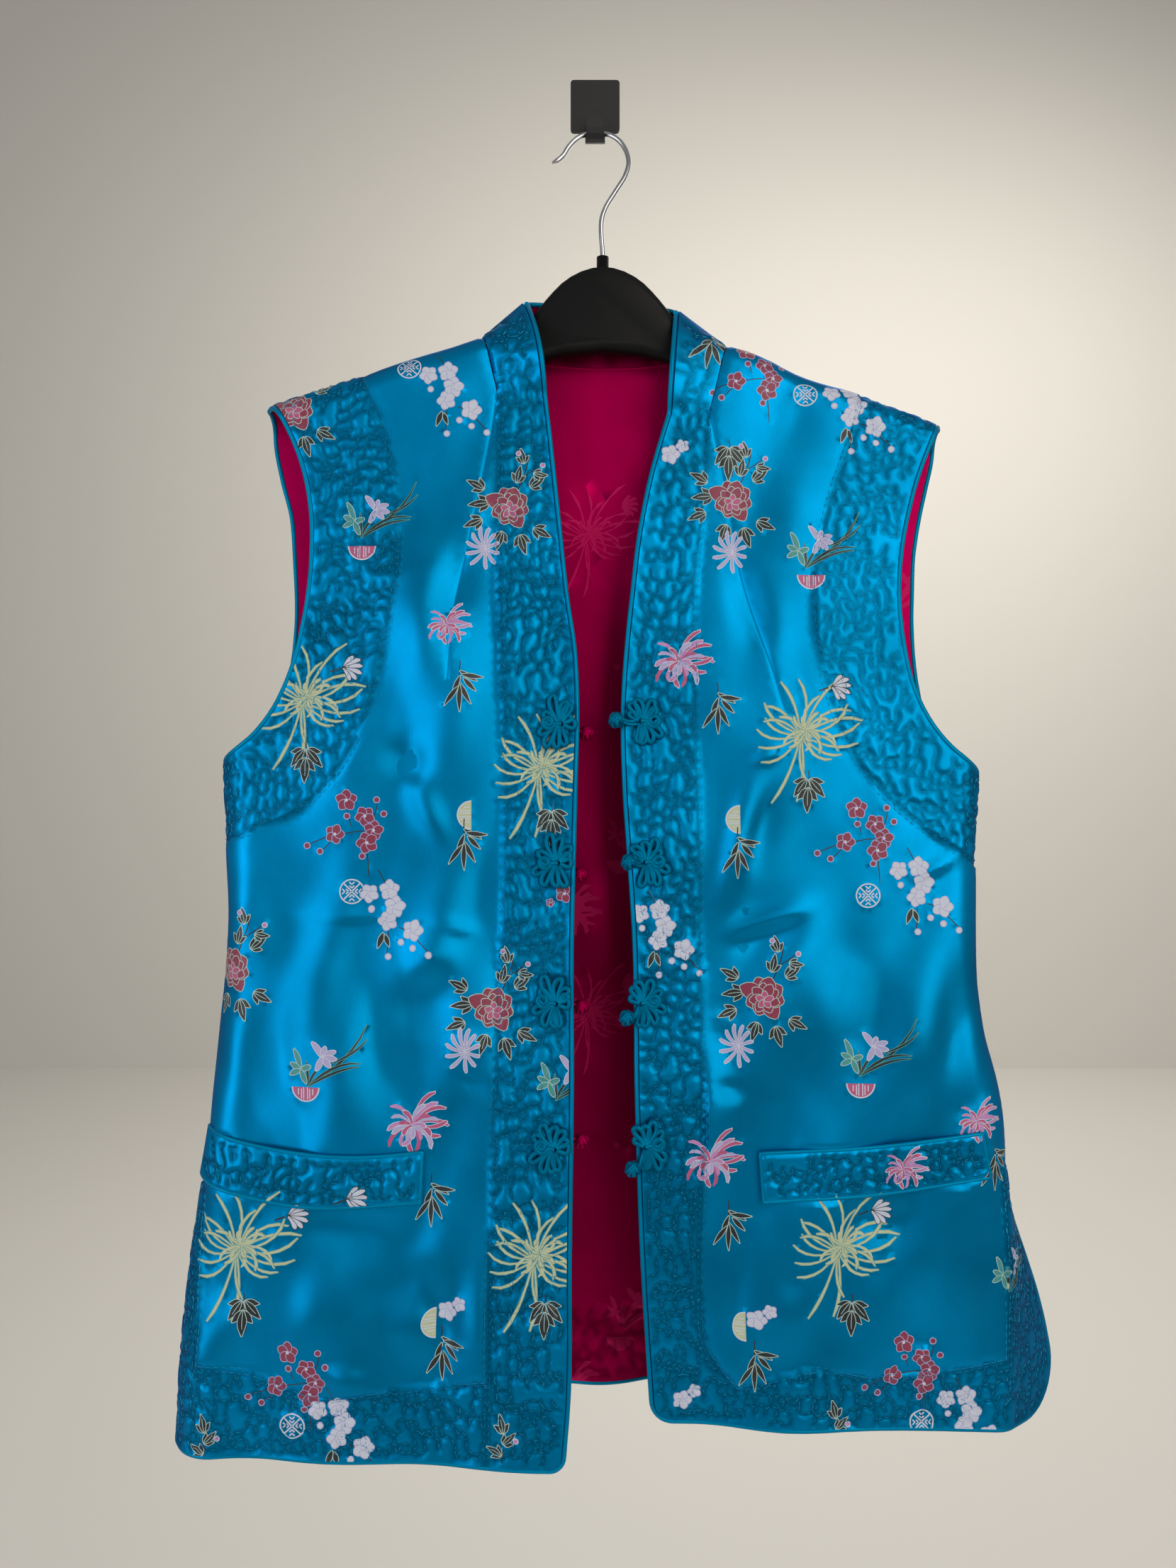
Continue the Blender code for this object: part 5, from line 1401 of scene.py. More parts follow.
def laid_out(places):
    """All shapes of the figures at their places; x runs to the viewer's right."""
    shapes = []
    for place in places:
        shapes += shifted(FIGURES[place.figure], place.x, place.height)
    return shapes


RIGHT_PLACES = rows_of(
    Place, ("peony", -174.7, -198.8), ("roundel", -108.2, -172.3), ("white plum", -84, -186),
    ("orchid", -130.8, -258.8), ("low half", -134.1, -278), ("peony", -49.5, -256.5),
    ("pale mum", -62.9, -279), ("narrow mum", -85, -325), ("bamboo", -76.6, -361),
    ("spider mum", -166, -368), ("bud", -138.3, -349.9), ("leaves", -164, -399),
    ("spider mum", -32, -407), ("leaves", -25, -434), ("red plum", -134.8, -436.7),
    ("side half", -70, -432), ("bamboo", -74, -450), ("roundel", -137, -475),
    ("white plum", -114.4, -485), ("red blossom", -17.6, -476.3), ("peony", -205, -520),
    ("peony", -57, -541.5), ("pale mum", -72, -563), ("orchid", -154.9, -567.4),
    ("low half", -160.3, -582), ("orchid", -18, -576), ("rose mum", -102, -604),
    ("bamboo", -91, -646), ("bud", -132, -644), ("spider mum", -198, -672), ("bud", -164.5, -653.9),
    ("leaves", -194, -703), ("spider mum", -34, -676), ("leaves", -28, -703),
    ("side half", -88, -712), ("blossom", -81.9, -705.6), ("bamboo", -84.8, -730),
    ("red plum", -163.5, -739.3), ("roundel", -166.7, -767), ("white plum", -139.6, -766.8),
    ("sprig", -216.8, -779), ("sprig", -51.6, -776),
)  # fmt: skip
LEFT_PLACES = rows_of(
    Place, ("bamboo", 59.5, -162), ("red plum", 93.6, -175), ("roundel", 122, -188),
    ("white plum", 150, -196), ("blossom", 43.3, -224), ("leaves", 77.3, -224),
    ("peony", 79.4, -252), ("pale mum", 79.2, -281), ("orchid", 124.4, -276.8),
    ("low half", 123.3, -295), ("rose mum", 47.3, -344.9), ("bamboo", 69.7, -373),
    ("spider mum", 116.6, -387), ("bud", 139.3, -360.7), ("leaves", 120.9, -416),
    ("side half", 82, -434.7), ("bamboo", 80.5, -455), ("red plum", 154.2, -441.4),
    ("roundel", 154.8, -478), ("white plum", 185.2, -472.6), ("white plum", 38, -497),
    ("peony", 95.8, -537), ("pale mum", 82, -563.5), ("orchid", 153.4, -565.7),
    ("low half", 149.8, -584), ("narrow mum", 215.5, -605.6), ("bamboo", 226.6, -632),
    ("rose mum", 64.5, -627.8), ("bamboo", 75.7, -667), ("narrow mum", 173.3, -632),
    ("spider mum", 137, -679), ("bud", 162.3, -659), ("leaves", 145, -712),
    ("side half", 86, -722.4), ("blossom", 91.5, -718), ("bamboo", 90.3, -746),
    ("red plum", 180.9, -745), ("roundel", 185.7, -778), ("white plum", 212.5, -774),
    ("blossom", 49.3, -766), ("orchid", 240.5, -690), ("sprig", 135.2, -782),
)  # fmt: skip
right_shapes, left_shapes = laid_out(RIGHT_PLACES), laid_out(LEFT_PLACES)
right = make_front(RIGHT, "right", 3, right_shapes)

# The left front: cut from the same cloth and quilted the same way. Its edge hangs a little lower
# at the side, and it swings outward below the pocket, over the open vent.
LEFT = Front(
    side=1,
    sections=rows_of(
        Section, (-800, 235, 279, -50), (-726, 236, 267, -52), (-680, 237, 253, -54),
        (-634, 237, 238, -55), (-584, 232, 229, -55), (-547, 226, 222, -54),
        (-500, 222.5, 218, -53), (-460, 222.4, 217, -52), (-405, 226, 221, -50),
        (-250, 227, 222, -42), (-140, 228, 222, -36),
    ),
    neck=Spot(79.5, -156),
    tip=Spot(205, -203),
    notch=Spot(66, -199),
    collar_top=Spot(50, -134),
    collar_lean=(45.5, -58, -167),
    opening=rows_of(
        Spot, (44.5, -199), (34.5, -233), (27, -270), (22.5, -307), (19.3, -338), (17.3, -370),
        (18, -415), (21, -460), (23.5, -500), (25, -590), (28, -680), (32.5, -753), (33.5, -767),
    ),
    armhole=rows_of(
        Spot, (191, -221), (185, -237), (180, -255), (176, -274), (173.3, -301), (175, -330),
        (184, -367), (193, -383), (205, -396.5), (227.8, -410), (251, -414),
    ),
    hem=rows_of(Spot, (45, -778), (150, -780.5), (262, -783)),
    front_corner=11,
    vent_corner=30,
    welt_top=rows_of(Spot, (93, -623.5), (156, -620), (218, -612)),
    welt_foot=rows_of(Spot, (223, -637), (156, -647), (95, -651)),
    folds=rows_of(
        Fold, (110, -640, 107, -830, 24, 30, 8, "open"), (65, -640, 68, -830, 18, 22, -4, "open"),
        (190, -480, 195, -650, 25, 25, 3, "closed"), (132, -235, 118, -400, 19, 20, 4, "closed"),
        # The creases below are finer than the solid's form.
        (76, -270, 100, -356, 5, 9, -3.5, "closed"), (104, -300, 100, -372, 8, 8, 2.6, "closed"),
        (110, -392, 84, -404, 3, 3, 2.6, "closed"), (94, -398, 68, -503, 5, 6, 4.2, "closed"),
        (104, -405, 84, -470, 7, 8, -3.2, "closed"), (66, -503, 130, -480, 3.2, 4, 3.8, "closed"),
        (72, -512, 128, -492, 5, 6, -2.9, "closed"), (176, -472, 214, -450, 3, 3, 2.6, "closed"),
        (84, -520, 72, -600, 9, 10, -2.6, "closed"), (62, -545, 96, -560, 3, 4, 1.6, "closed"),
        (62, -585, 90, -590, 3, 4, -1.6, "closed"), (140, -500, 128, -600, 11, 12, 2.6, "closed"),
        (206, -480, 200, -590, 8, 9, -2.6, "closed"), (84, -660, 76, -750, 7, 6, -3.5, "closed"),
        (120, -662, 200, -664, 8, 8, -2.6, "closed"), (118, -690, 96, -745, 10, 8, 3.8, "closed"),
        (214, -655, 206, -745, 7, 8, 2.9, "closed"), (160, -735, 206, -742, 4, 4, 1.9, "closed"),
    ),
    fullness=[Fullness(100, -370, 55, 5), Fullness(160, -700, 32, 2.5)],
    frogs=rows_of(Spot, (31.7, -379), (33.9, -459), (31.6, -538.5), (33.9, -619)),
    buttons=rows_of(Spot, (11.8, -378.7), (18.7, -459), (17.6, -546.5), (20.8, -631)),
    band_seam=rows_of(
        Spot, (66, -199), (62.6, -256), (58.6, -290), (56.7, -324), (57.3, -376), (59.5, -436),
        (60, -496), (61.3, -586), (61.3, -630), (59.7, -695), (63, -736), (80.5, -759),
    ),
    armhole_seam=rows_of(
        Spot, (157, -168), (152, -198.5), (134, -252), (124, -297), (125, -330), (137, -379),
        (158, -415), (183, -438), (221, -461), (272, -474),
    ),
    hem_seam=rows_of(
        Spot, (80.5, -759), (105, -751), (122, -747), (155, -752), (198, -750), (235, -743),
    ),
    vent_seam=rows_of(Spot, (235, -743), (236, -700), (232, -634)),
    dart=rows_of(Spot, (66, -199), (76, -250), (84, -297), (94, -330), (107, -372)),
)  # fmt: skip
left = make_front(LEFT, "left", 11, left_shapes)

# The back: one wide panel of the same brocade, seamed to the fronts over the shoulders and down
# the sides to the vents. It hangs flat against the wall, quilted at armholes, vents and hem.
BACK_Y = -4.0
BACK_ROUND = 12.0
BACK_ROLL_ARC = 24.4
BACK_QUILTED_STEP = 2.9
BACK_PLAIN_STEP = 6.5
VENT_GAP = 8.0
VENT_EASE = 14.0
BACK_ARMHOLE = {
    -1: rows_of(
        Spot, (192, -212), (188, -232), (183, -252), (181, -278), (180, -317), (184, -350),
        (194, -380), (208, -400), (219.9, -406),
    ),
    1: rows_of(
        Spot, (203, -217), (199, -236), (195, -255), (192, -275), (191, -300), (191, -325),
        (194, -355), (202, -385), (214, -405), (227.9, -414),
    ),
}  # fmt: skip
BACK_HEM = rows_of(Spot, (-214, -771), (-40, -774), (10, -778), (40, -773), (214, -771))
BACK_CORNER = 14
BACK_VENT_X = {
    -1: rows_of(Spot, (234, -800), (222, -660)),
    1: rows_of(Spot, (235, -800), (232, -660)),
}
BACK_FOLDS = rows_of(
    Fold, (-120, -520, -128, -800, 24, 30, -4, "open"), (20, -560, 14, -800, 26, 34, 2, "open"),
    (112, -540, 120, -800, 26, 30, -4, "open"), (-60, -230, -84, -420, 26, 30, -3, "closed"),
    (74, -230, 96, -420, 26, 30, -3, "closed"),
    # The creases below are finer than the solid's form.
    (-150, -440, -60, -500, 6, 8, -2.2, "closed"), (160, -450, 70, -520, 7, 9, -2.6, "closed"),
    (-100, -300, -20, -330, 8, 9, -1.9, "closed"), (40, -300, 110, -350, 7, 8, -1.9, "closed"),
    (-90, -560, -60, -700, 9, 12, -2.9, "closed"), (60, -580, 84, -720, 9, 11, -2.9, "closed"),
    (-10, -420, 10, -560, 10, 12, -2.2, "closed"), (-175, -560, -160, -680, 8, 10, -2.2, "closed"),
)
BACK_SEAMS = [
    rows_of(
        Spot, (-146, -162), (-140, -210), (-132, -262), (-130, -320), (-137, -375), (-156, -420),
        (-186, -446), (-232, -456),
    ),
    rows_of(
        Spot, (156, -172), (150, -215), (143, -265), (141, -320), (146, -375), (163, -420),
        (192, -448), (240, -460),
    ),
    rows_of(Spot, (-190, -640), (-186, -690), (-183, -728)),
    rows_of(Spot, (192, -640), (188, -690), (184, -728)),
    rows_of(Spot, (-183, -728), (-40, -731), (10, -735), (40, -731), (184, -728)),
]  # fmt: skip
NECK_MIDDLE_X = 5.75
NECK_HALF = 73.7
NECK_DIP = -163.0


def back_side_x(side, height):
    """The x of the back's side edge: the front's seam, and inside it below the vent's top."""
    front = RIGHT if side < 0 else LEFT
    _, seam, _ = section_at(front, np.maximum(height, VENT_TOP))
    rows = BACK_VENT_X[side]
    free = smooth(height, [row.height for row in rows], [row.out for row in rows])
    share = np.clip((VENT_TOP - height) / 30, 0, 1)
    return seam + (free - seam) * share


def back_point(x_flat, height):
    """The back's form; its out is signed, below nought on the right."""
    out = np.abs(x_flat)
    left = x_flat > 0
    edge = np.where(left, back_side_x(1, height), back_side_x(-1, height))
    start = edge - BACK_ROUND
    turn = np.clip((out - start) / BACK_ROUND, 0, math.pi / 2)
    past = np.maximum(out - start - BACK_ROUND * math.pi / 2, 0)
    lift = drape(x_flat, height, BACK_FOLDS)
    x = np.minimum(out, start) + (BACK_ROUND + lift) * np.sin(turn)
    y = BACK_Y - BACK_ROUND + (BACK_ROUND + lift) * np.cos(turn) - past
    line = np.where(left, ridge_line(LEFT, x), ridge_line(RIGHT, x))
    return over_shoulder(x, y, height, line, BACK_ROLL_ARC) * np.stack(
        [np.where(left, 1.0, -1.0), np.ones_like(x), np.ones_like(x)], axis=-1
    )


def back_surface(flat, lift):
    return moved(*lifted(back_point, np.asarray(flat, float), lift, -1))


def back_seam_flat(side, height):
    return back_side_x(side, height) - BACK_ROUND + BACK_ROUND * math.pi / 2


def back_neck(t):
    """The back neck seam on the flat back, t from -1 at the right shoulder to 1 at the left."""
    ends = np.array([ridge_line(RIGHT, RIGHT.neck.out), ridge_line(LEFT, LEFT.neck.out)])
    ends = ends - ROLL + BACK_ROLL_ARC
    level = ends[0] + (ends[1] - ends[0]) * (t + 1) / 2
    dip = np.cos(math.pi * t / 2)
    return np.stack(
        [NECK_MIDDLE_X + NECK_HALF * np.sin(math.pi * t / 2), level + (NECK_DIP - level) * dip],
        axis=-1,
    )


def back_lines():
    """The flat back's edges, in order round the panel from the right shoulder's neck point."""
    neck = resampled(back_neck(np.linspace(-1, 1, 33)), EDGE_STEP)
    flat_top = ROLL - BACK_ROLL_ARC + SEAM_GAP / 2
    neck[0, 1] = ridge_line(RIGHT, RIGHT.neck.out) - flat_top
    neck[-1, 1] = ridge_line(LEFT, LEFT.neck.out) - flat_top
    lines = {"neck": neck}
    for side, front in ((1, LEFT), (-1, RIGHT)):
        tip = front.tip.out - 2
        tip_end = np.array([tip, ridge_line(front, tip) - flat_top])
        start = neck[-1] if side > 0 else neck[0]
        shoulder = resampled([(abs(start[0]), start[1]), tip_end], EDGE_STEP)
        armhole = resampled([tip_end, *BACK_ARMHOLE[side]], EDGE_STEP)
        heights = np.linspace(BACK_ARMHOLE[side][-1].height, VENT_TOP, 21)
        seam = np.stack([back_seam_flat(side, heights) - SEAM_GAP / 2, heights], axis=1)
        armhole[-1] = seam[0]
        level = BACK_HEM[0].height
        heights = np.linspace(VENT_TOP, level + BACK_CORNER, 13)
        ease = VENT_GAP * np.clip((VENT_TOP - heights) / VENT_EASE, 0, 1)
        vent = np.stack([back_seam_flat(side, heights) - SEAM_GAP / 2 - ease, heights], axis=1)
        arc = corner_arc(vent[-1], (vent[-1, 0], level), (vent[-1, 0] - BACK_CORNER, level), 8)
        name = "left" if side > 0 else "right"
        parts = {
            "shoulder": shoulder,
            "armhole": armhole,
            "side": resampled(seam, EDGE_STEP),
            "vent": resampled(vent, EDGE_STEP),
            "arc": arc,
        }
        for part, line in parts.items():
            lines[f"{name}_{part}"] = line * (side, 1)
    hem = np.array(BACK_HEM, float)
    hem[0], hem[-1] = lines["right_arc"][-1], lines["left_arc"][-1]
    lines["hem"] = resampled(hem[::-1], EDGE_STEP)
    return lines


def make_back(shapes):
    """The padded back with its quilting; returns what its trims and lining need."""
    lines = back_lines()
    order = ["neck", "left_shoulder", "left_armhole", "left_side", "left_vent", "left_arc", "hem"]
    round_parts = [lines[part] for part in order]
    way_back = ["right_arc", "right_vent", "right_side", "right_armhole", "right_shoulder"]
    round_parts += [lines[part][::-1] for part in way_back]
    outline = joined(round_parts)[:-1]
    ring = rough_ring(outline)
    seam_lines = [np.array(line, float) for line in BACK_SEAMS]
    right_hole, left_hole, right_vent, left_vent, hem = seam_lines
    far, low, high, hem_top = 300, -830, -90, -728
    zones = (
        np.concatenate([right_hole, [(-far, -460), (-far, high), (-146, high)]]),
        np.concatenate([left_hole, [(far, -460), (far, high), (156, high)]]),
        np.concatenate([right_vent, [(-far, hem_top), (-far, VENT_TOP)]]),
        np.concatenate([left_vent, [(far, hem_top), (far, VENT_TOP)]]),
        np.concatenate([hem, [(far, hem_top), (far, low), (-far, low), (-far, hem_top)]]),
    )
    is_quilted = within_any(zones)
    clouds = clouds_within(outline, 5, lambda points: is_quilted(points) & well_inside(points, ring))
    seams = seam_rows(seam_lines, ring)
    sewn = tree_of([*clouds, *seams], SEARCH_STEP)
    edges = ["neck", "left_shoulder", "right_shoulder", "left_side", "right_side"]

    def lift_at(flat):
        near = nearest(sewn, flat)
        plain = QUILT_LOW * falloff(near, SEAM_SOFTNESS) + 1.1 * ripple(flat, 21)
        lift = np.where(is_quilted(flat), puff(near), plain)
        for edge in edges:
            lift -= falloff(distances(flat, lines[edge][::4]), EDGE_SOFTNESS)
        return np.maximum(lift, DEEPEST)

    inside = cloth_points(outline, is_quilted, BACK_QUILTED_STEP, BACK_PLAIN_STEP)
    panel = cloth(
        "back_brocade", outline, inside, back_surface, lift_at, -SHELL,
        [brocade, *weft_finishes], shapes, hollow_at=hollows(sewn, is_quilted),
    )  # fmt: skip
    sewing = stitches(
        "back_stitching", [*clouds, *seams], back_surface, lift_at, quilting_thread, long=4, gap=1.4
    )  # fmt: skip
    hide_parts("back")
    for piece in (panel, sewing):
        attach(piece, "root")
    return {"lines": lines, "outline": outline, "panel": panel, "sewing": sewing}


# The cloth's repeat is 165 mm wide and 290 mm tall, with each second column half a repeat lower.
REPEAT_WIDE = 165.0
REPEAT_TALL = 290.0
REPEAT = rows_of(
    Place, ("spider mum", 0, 0), ("bud", 26, 18), ("leaves", 4, -32), ("red plum", 46, -66),
    ("roundel", 48, -104), ("white plum", 72, -112), ("side half", -32, -62), ("bamboo", -34, -80),
    ("peony", -44, -146), ("pale mum", -56, -172), ("orchid", 26, -176), ("low half", 20, -196),
    ("rose mum", -10, -228), ("bamboo", 2, -262),
)  # fmt: skip


def repeated(first_x, first_height, columns, rows):
    """The repeat's figures over a wide cloth, in columns and rows."""
    places = []
    for column in range(columns):
        for row in range(rows):
            x = first_x + column * REPEAT_WIDE
            height = first_height - row * REPEAT_TALL - (column % 2) * REPEAT_TALL / 2
            places += [place._replace(x=place.x + x, height=place.height + height) for place in REPEAT]
    return places


BACK_PLACES = repeated(-195, -60, 4, 3)
back = make_back(mirrored(fewer_corners(laid_out(BACK_PLACES)), -1))

# The back collar: a low standing band of quilted brocade, sewn round the back neck between the
# two grown-on collars. Padding keeps it upright behind the hanger's dome.
COLLAR_MIDDLE_X = 3.5
COLLAR_HALF = 46.5
COLLAR_DEPTH = 16.0
COLLAR_CROWN = 4.5
COLLAR_FLAT_HALF = 72.0
COLLAR_FLAT_HEIGHT = 36.0
COLLAR_SEAM = 1.2
COLLAR_SQUARE = 0.7


def collar_point(run, rise):
    """The back collar: run is along the neck, rise from its seam to its top."""
    t = run / COLLAR_FLAT_HALF
    share = (rise / COLLAR_FLAT_HEIGHT)[..., None]
    flat = back_neck(t)
    seam = back_point(flat[..., 0], flat[..., 1])
    round_the_back = np.maximum(np.cos(math.pi * t / 2), 0) ** COLLAR_SQUARE
    ends = RIGHT.collar_top.height + (LEFT.collar_top.height - RIGHT.collar_top.height) * (t + 1) / 2
    top = np.stack(
        [
            COLLAR_MIDDLE_X + COLLAR_HALF * np.sin(math.pi * t / 2),
            COLLAR_TOP_Y + COLLAR_DEPTH * round_the_back,
            ends + COLLAR_CROWN * round_the_back,
        ],
        axis=-1,
    )
    return seam + (top - seam) * share


def collar_surface(flat, lift):
    flat = np.asarray(flat, float)
    point, normal, lift = lifted(collar_point, flat, lift, -1)
    normal[np.abs(flat[:, 0]) > COLLAR_FLAT_HALF - 1.5, 1] = 0
    return moved(point, normal, lift)


collar_end = COLLAR_FLAT_HALF - 0.8
collar_corners = [
    (-collar_end, COLLAR_SEAM), (collar_end, COLLAR_SEAM), (collar_end, COLLAR_FLAT_HEIGHT),
    (-collar_end, COLLAR_FLAT_HEIGHT), (-collar_end, COLLAR_SEAM),
]  # fmt: skip
collar_sides = [resampled(collar_corners[k : k + 2], EDGE_STEP) for k in range(4)]
collar_outline = joined(collar_sides)[:-1]
collar_ring = rough_ring(collar_outline)
collar_clouds = clouds_within(collar_outline, 8, lambda points: well_inside(points, collar_ring))
collar_tree = tree_of(collar_clouds, SEARCH_STEP)


def collar_lift(flat):
    return puff(nearest(collar_tree, flat))


def everywhere(points):
    return np.ones(len(points), bool)


collar = cloth(
    "collar_brocade", collar_outline, cloth_points(collar_outline, everywhere, 1.6, 4),
    collar_surface, collar_lift, -SHELL, [brocade, *weft_finishes],
    hollow_at=hollows(collar_tree),
)  # fmt: skip
collar_sewing = stitches(
    "collar_stitching", collar_clouds, collar_surface, collar_lift, quilting_thread
)
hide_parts("collar_back")
for piece in (collar, collar_sewing):
    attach(piece, "root")

# The lining: crimson silk satin damask, cut to the same pattern pieces and bagged out with them.
# Its flowers are woven tone on tone, and the quilting of the borders shows through it.
LINING_NEAR = SHELL + SEAM_GAP
LINING_FAR = LINING_NEAR + 1.0
LINING_HEM_TOP = -733.0
LINING_QUILTED_STEP = 3.8
LINING_PLAIN_STEP = 8.0
lining_satin = satin("crimson silk satin damask", "#92003F", "#AE004C", 0.36, 0.5)
damask_weft = satin("crimson damask figure", "#B81454", "#CC2466", 0.5, 0.25)
lining_finishes = [lining_satin, damask_weft]


def make_lining(name, node, outline, surface, borders, seed, shapes):
    """A lining panel on the inside of a brocade one, quilted within its borders."""
    ring = rough_ring(outline)
    clouds = clouds_within(outline, seed, lambda points: borders(points) & well_inside(points, ring))
    sewn = tree_of(clouds, SEARCH_STEP)

    def lift_at(flat):
        puffed = 0.5 - 0.8 * (1 - falloff(nearest(sewn, flat), QUILT_SOFTNESS))
        lift = np.where(borders(flat), puffed, -0.35 * np.abs(ripple(flat, seed)))
        return -LINING_FAR + np.clip(lift, -0.5, 0.6)

    inside = cloth_points(outline, borders, LINING_QUILTED_STEP, LINING_PLAIN_STEP)
    panel = cloth(
        name, outline, inside, surface, lift_at, -LINING_NEAR, lining_finishes, shapes, facing=-1,
        hollow_at=hollows(sewn, borders),
    )  # fmt: skip
    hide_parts(node)
    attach(panel, "root")
    return panel


EDGE_THREADS = {THREAD_NUMBER[name] for name in ("straw_shade", "pale", "ink")}


def damask(places):
    """The same flowers as a damask figure: what isn't an edge takes the one weft."""
    shapes = laid_out(places)
    return [(line, min(number, 1)) for line, number in shapes if number not in EDGE_THREADS]


DAMASK_PLACES = repeated(-170, -120, 4, 3)
linings = {}
for front, name, made, seed in ((RIGHT, "right", right, 31), (LEFT, "left", left, 37)):
    linings[name] = make_lining(
        f"{name}_front_damask", f"lining_{name}_front", made["outline"], made["surface"],
        within_any(zones_of(front)), seed,
        mirrored(fewer_corners(damask(DAMASK_PLACES[::3])), front.side),
    )  # fmt: skip
linings["back"] = make_lining(
    "back_damask", "lining_back", back["outline"], back_surface,
    lambda points: points[:, 1] < LINING_HEM_TOP, 41, fewer_corners(damask(DAMASK_PLACES)),
)  # fmt: skip
linings["collar"] = make_lining(
    "collar_damask", "lining_collar", collar_outline, collar_surface, everywhere, 43, []
)

# The piping: a bias strip of turquoise satin folded round cotton cord and caught in the edge
# seams. It runs round the front edges, hems, vents, armholes and collar, 3 mm thick.
PIPING_RADIUS = 1.5
PIPING_BEYOND = 1.4
PIPING_DEPTH = 1.65
VENT_PIPING_TOP = -678.0
piping_satin = satin("turquoise satin bias piping", "#00779F", "#0089B6", 0.36, 0.4)
# The frogs' cord is the piping's satin, painted darker: painted shade among its crowded loops and knots.
frog_satin_with_painted_shade = satin("turquoise satin bias cord, painted darker for shade", "#006488", "#00769E", 0.36, 0.4)


def piping_route(surface, line, turn):
    """A line's points moved just past the cloth's edge, at half its depth."""
    edge = surface(line, np.zeros(len(line)))
    normal = surface(line, np.ones(len(line))) - edge
    past = np.cross(np.gradient(edge, axis=0), normal) * turn
    past /= np.linalg.norm(past, axis=1, keepdims=True)
    return edge + past * PIPING_BEYOND - normal * PIPING_DEPTH


def piping(name, node, points, closed=False):
    """Piping along a route; the bias strip draws in and swells a little as it was sewn."""
    points = np.asarray(points)
    keep = np.ones(len(points), bool)
    for k in range(1, len(points)):
        keep[k] = np.linalg.norm(points[k] - points[k - 1]) > 0.3
    points = points[keep]
    swell = [noise.noise(Vector(point) / 9) for point in points]
    radii = PIPING_RADIUS * (1 + 0.05 * np.array(swell))
    made = tube(name, points, radii, 12, piping_satin, closed)
    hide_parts(node)
    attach(made, "root")
    return made


for front, name, made in ((RIGHT, "right", right), (LEFT, "left", left)):
    lines, surface = made["lines"], made["surface"]
    edge = joined([lines[part][::-1] for part in ("rim", "opening", "front_arc", "hem", "vent_arc")])
    edge = np.concatenate([edge, lines["vent"][lines["vent"][:, 1] < VENT_PIPING_TOP][::-1]])
    route = piping_route(surface, edge[1:], front.side)
    piping(f"{name}_edge_piping", f"piping_{name}_edge", route)
    front_part = piping_route(surface, lines["armhole"][::-1], front.side)
    back_part = piping_route(back_surface, back["lines"][f"{name}_armhole"], front.side)
    loop = np.concatenate([front_part, back_part[1:-1]])
    piping(
        f"{name}_armhole_piping", f"piping_{name}_armhole", loop, closed=True
    )
free_ends = []
for name in ("left", "right"):
    vent = back["lines"][f"{name}_vent"]
    free_ends.append(joined([vent[vent[:, 1] < VENT_PIPING_TOP], back["lines"][f"{name}_arc"]]))
hem_edge = joined([free_ends[0], back["lines"]["hem"], free_ends[1][::-1]])
piping("back_hem_piping", "piping_back_hem", piping_route(back_surface, hem_edge, 1))
piping(
    "collar_piping", "piping_collar",
    piping_route(collar_surface, collar_sides[2], -1),
)  # fmt: skip
# A turquoise cord is sewn in the back neck seam outside, and a crimson one covers it inside.
NECK_CORD_RADIUS = 1.3
neck_line = resampled(back_neck(np.linspace(-0.99, 0.99, 33)), EDGE_STEP)
neck_cords = []
for name, depth, finish, slot in (
    ("neck_seam_cord", -0.9, piping_satin, "piping"),
    ("neck_seam_binding", -2.9, lining_satin, "lining"),
):
    route = back_surface(neck_line, np.full(len(neck_line), depth))
    cord = tube(name, route, NECK_CORD_RADIUS, 10, finish)
    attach(cord, "root")
    neck_cords.append(cord)

# The pocket welts: quilted strips of brocade, corded round their edge and stitched down over the
# pocket mouths, a little lower at the inner end.
WELT_UNDER = 0.4
WELT_TOP = 2.0
WELT_MARGIN = 3.2


def make_welt(front, name, made, seed, shapes):
    """A pocket welt: its quilted strip, the strip's stitching and its cording."""
    outline, surface = made["welt"], made["surface"]
    ring = np.concatenate([outline, outline[:1]])
    clouds = clouds_within(outline, seed, lambda points: well_inside(points, ring, WELT_MARGIN))
    sewn = tree_of(clouds, SEARCH_STEP)

    def lift_at(flat):
        puffed = WELT_TOP + 1.1 * (1 - falloff(nearest(sewn, flat), QUILT_SOFTNESS))
        return puffed - 1.2 * falloff(distances(flat, ring), 1.3)

    inside = cloth_points(outline, everywhere, 1.4, 4)
    panel = cloth(
        f"{name}_pocket_welt", outline, inside, surface, lift_at, WELT_UNDER,
        [brocade, *weft_finishes], mirrored(shapes, front.side), hollow_at=hollows(sewn),
    )  # fmt: skip
    sewing = stitches(f"{name}_welt_stitching", clouds, surface, lift_at, quilting_thread)
    edge = surface(outline, np.full(len(outline), 1.5))
    cording = tube(f"{name}_welt_cording", edge, 1.15, 10, piping_satin, closed=True)
    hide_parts(f"{name}_welt")
    for piece in (panel, sewing, cording):
        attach(piece, "root")
    return panel, sewing, cording


welts = {
    "right": make_welt(RIGHT, "right", right, 51, right_shapes),
    "left": make_welt(LEFT, "left", left, 57, left_shapes),
}

# The frogs: satin bias tube laid in loops like a flower and sewn down. On the right front the
# tube ends in a button loop at the edge, and on the left it carries a ball knot.
FROG_CORD_RADIUS = 1.45
FROG_LIFT = 2.5
HUB_INWARD = 6.0
BALL_RADIUS = 4.7
BALL_LIFT = 5.5
STRAND_RADIUS = 1.05
Loop = namedtuple("Loop", "angle long wide bend")
FROG_LOOPS = rows_of(
    Loop, (136, 8.0, 3.6, 10), (108, 11.5, 4.2, 16), (76, 13.5, 4.2, 20), (46, 16.5, 4.4, 18),
    (22, 13.0, 3.8, 12), (-12, 16.0, 4.0, -14), (-34, 15.5, 4.0, -22), (-60, 14.0, 3.8, -20),
    (-88, 13.5, 3.8, -12),
)


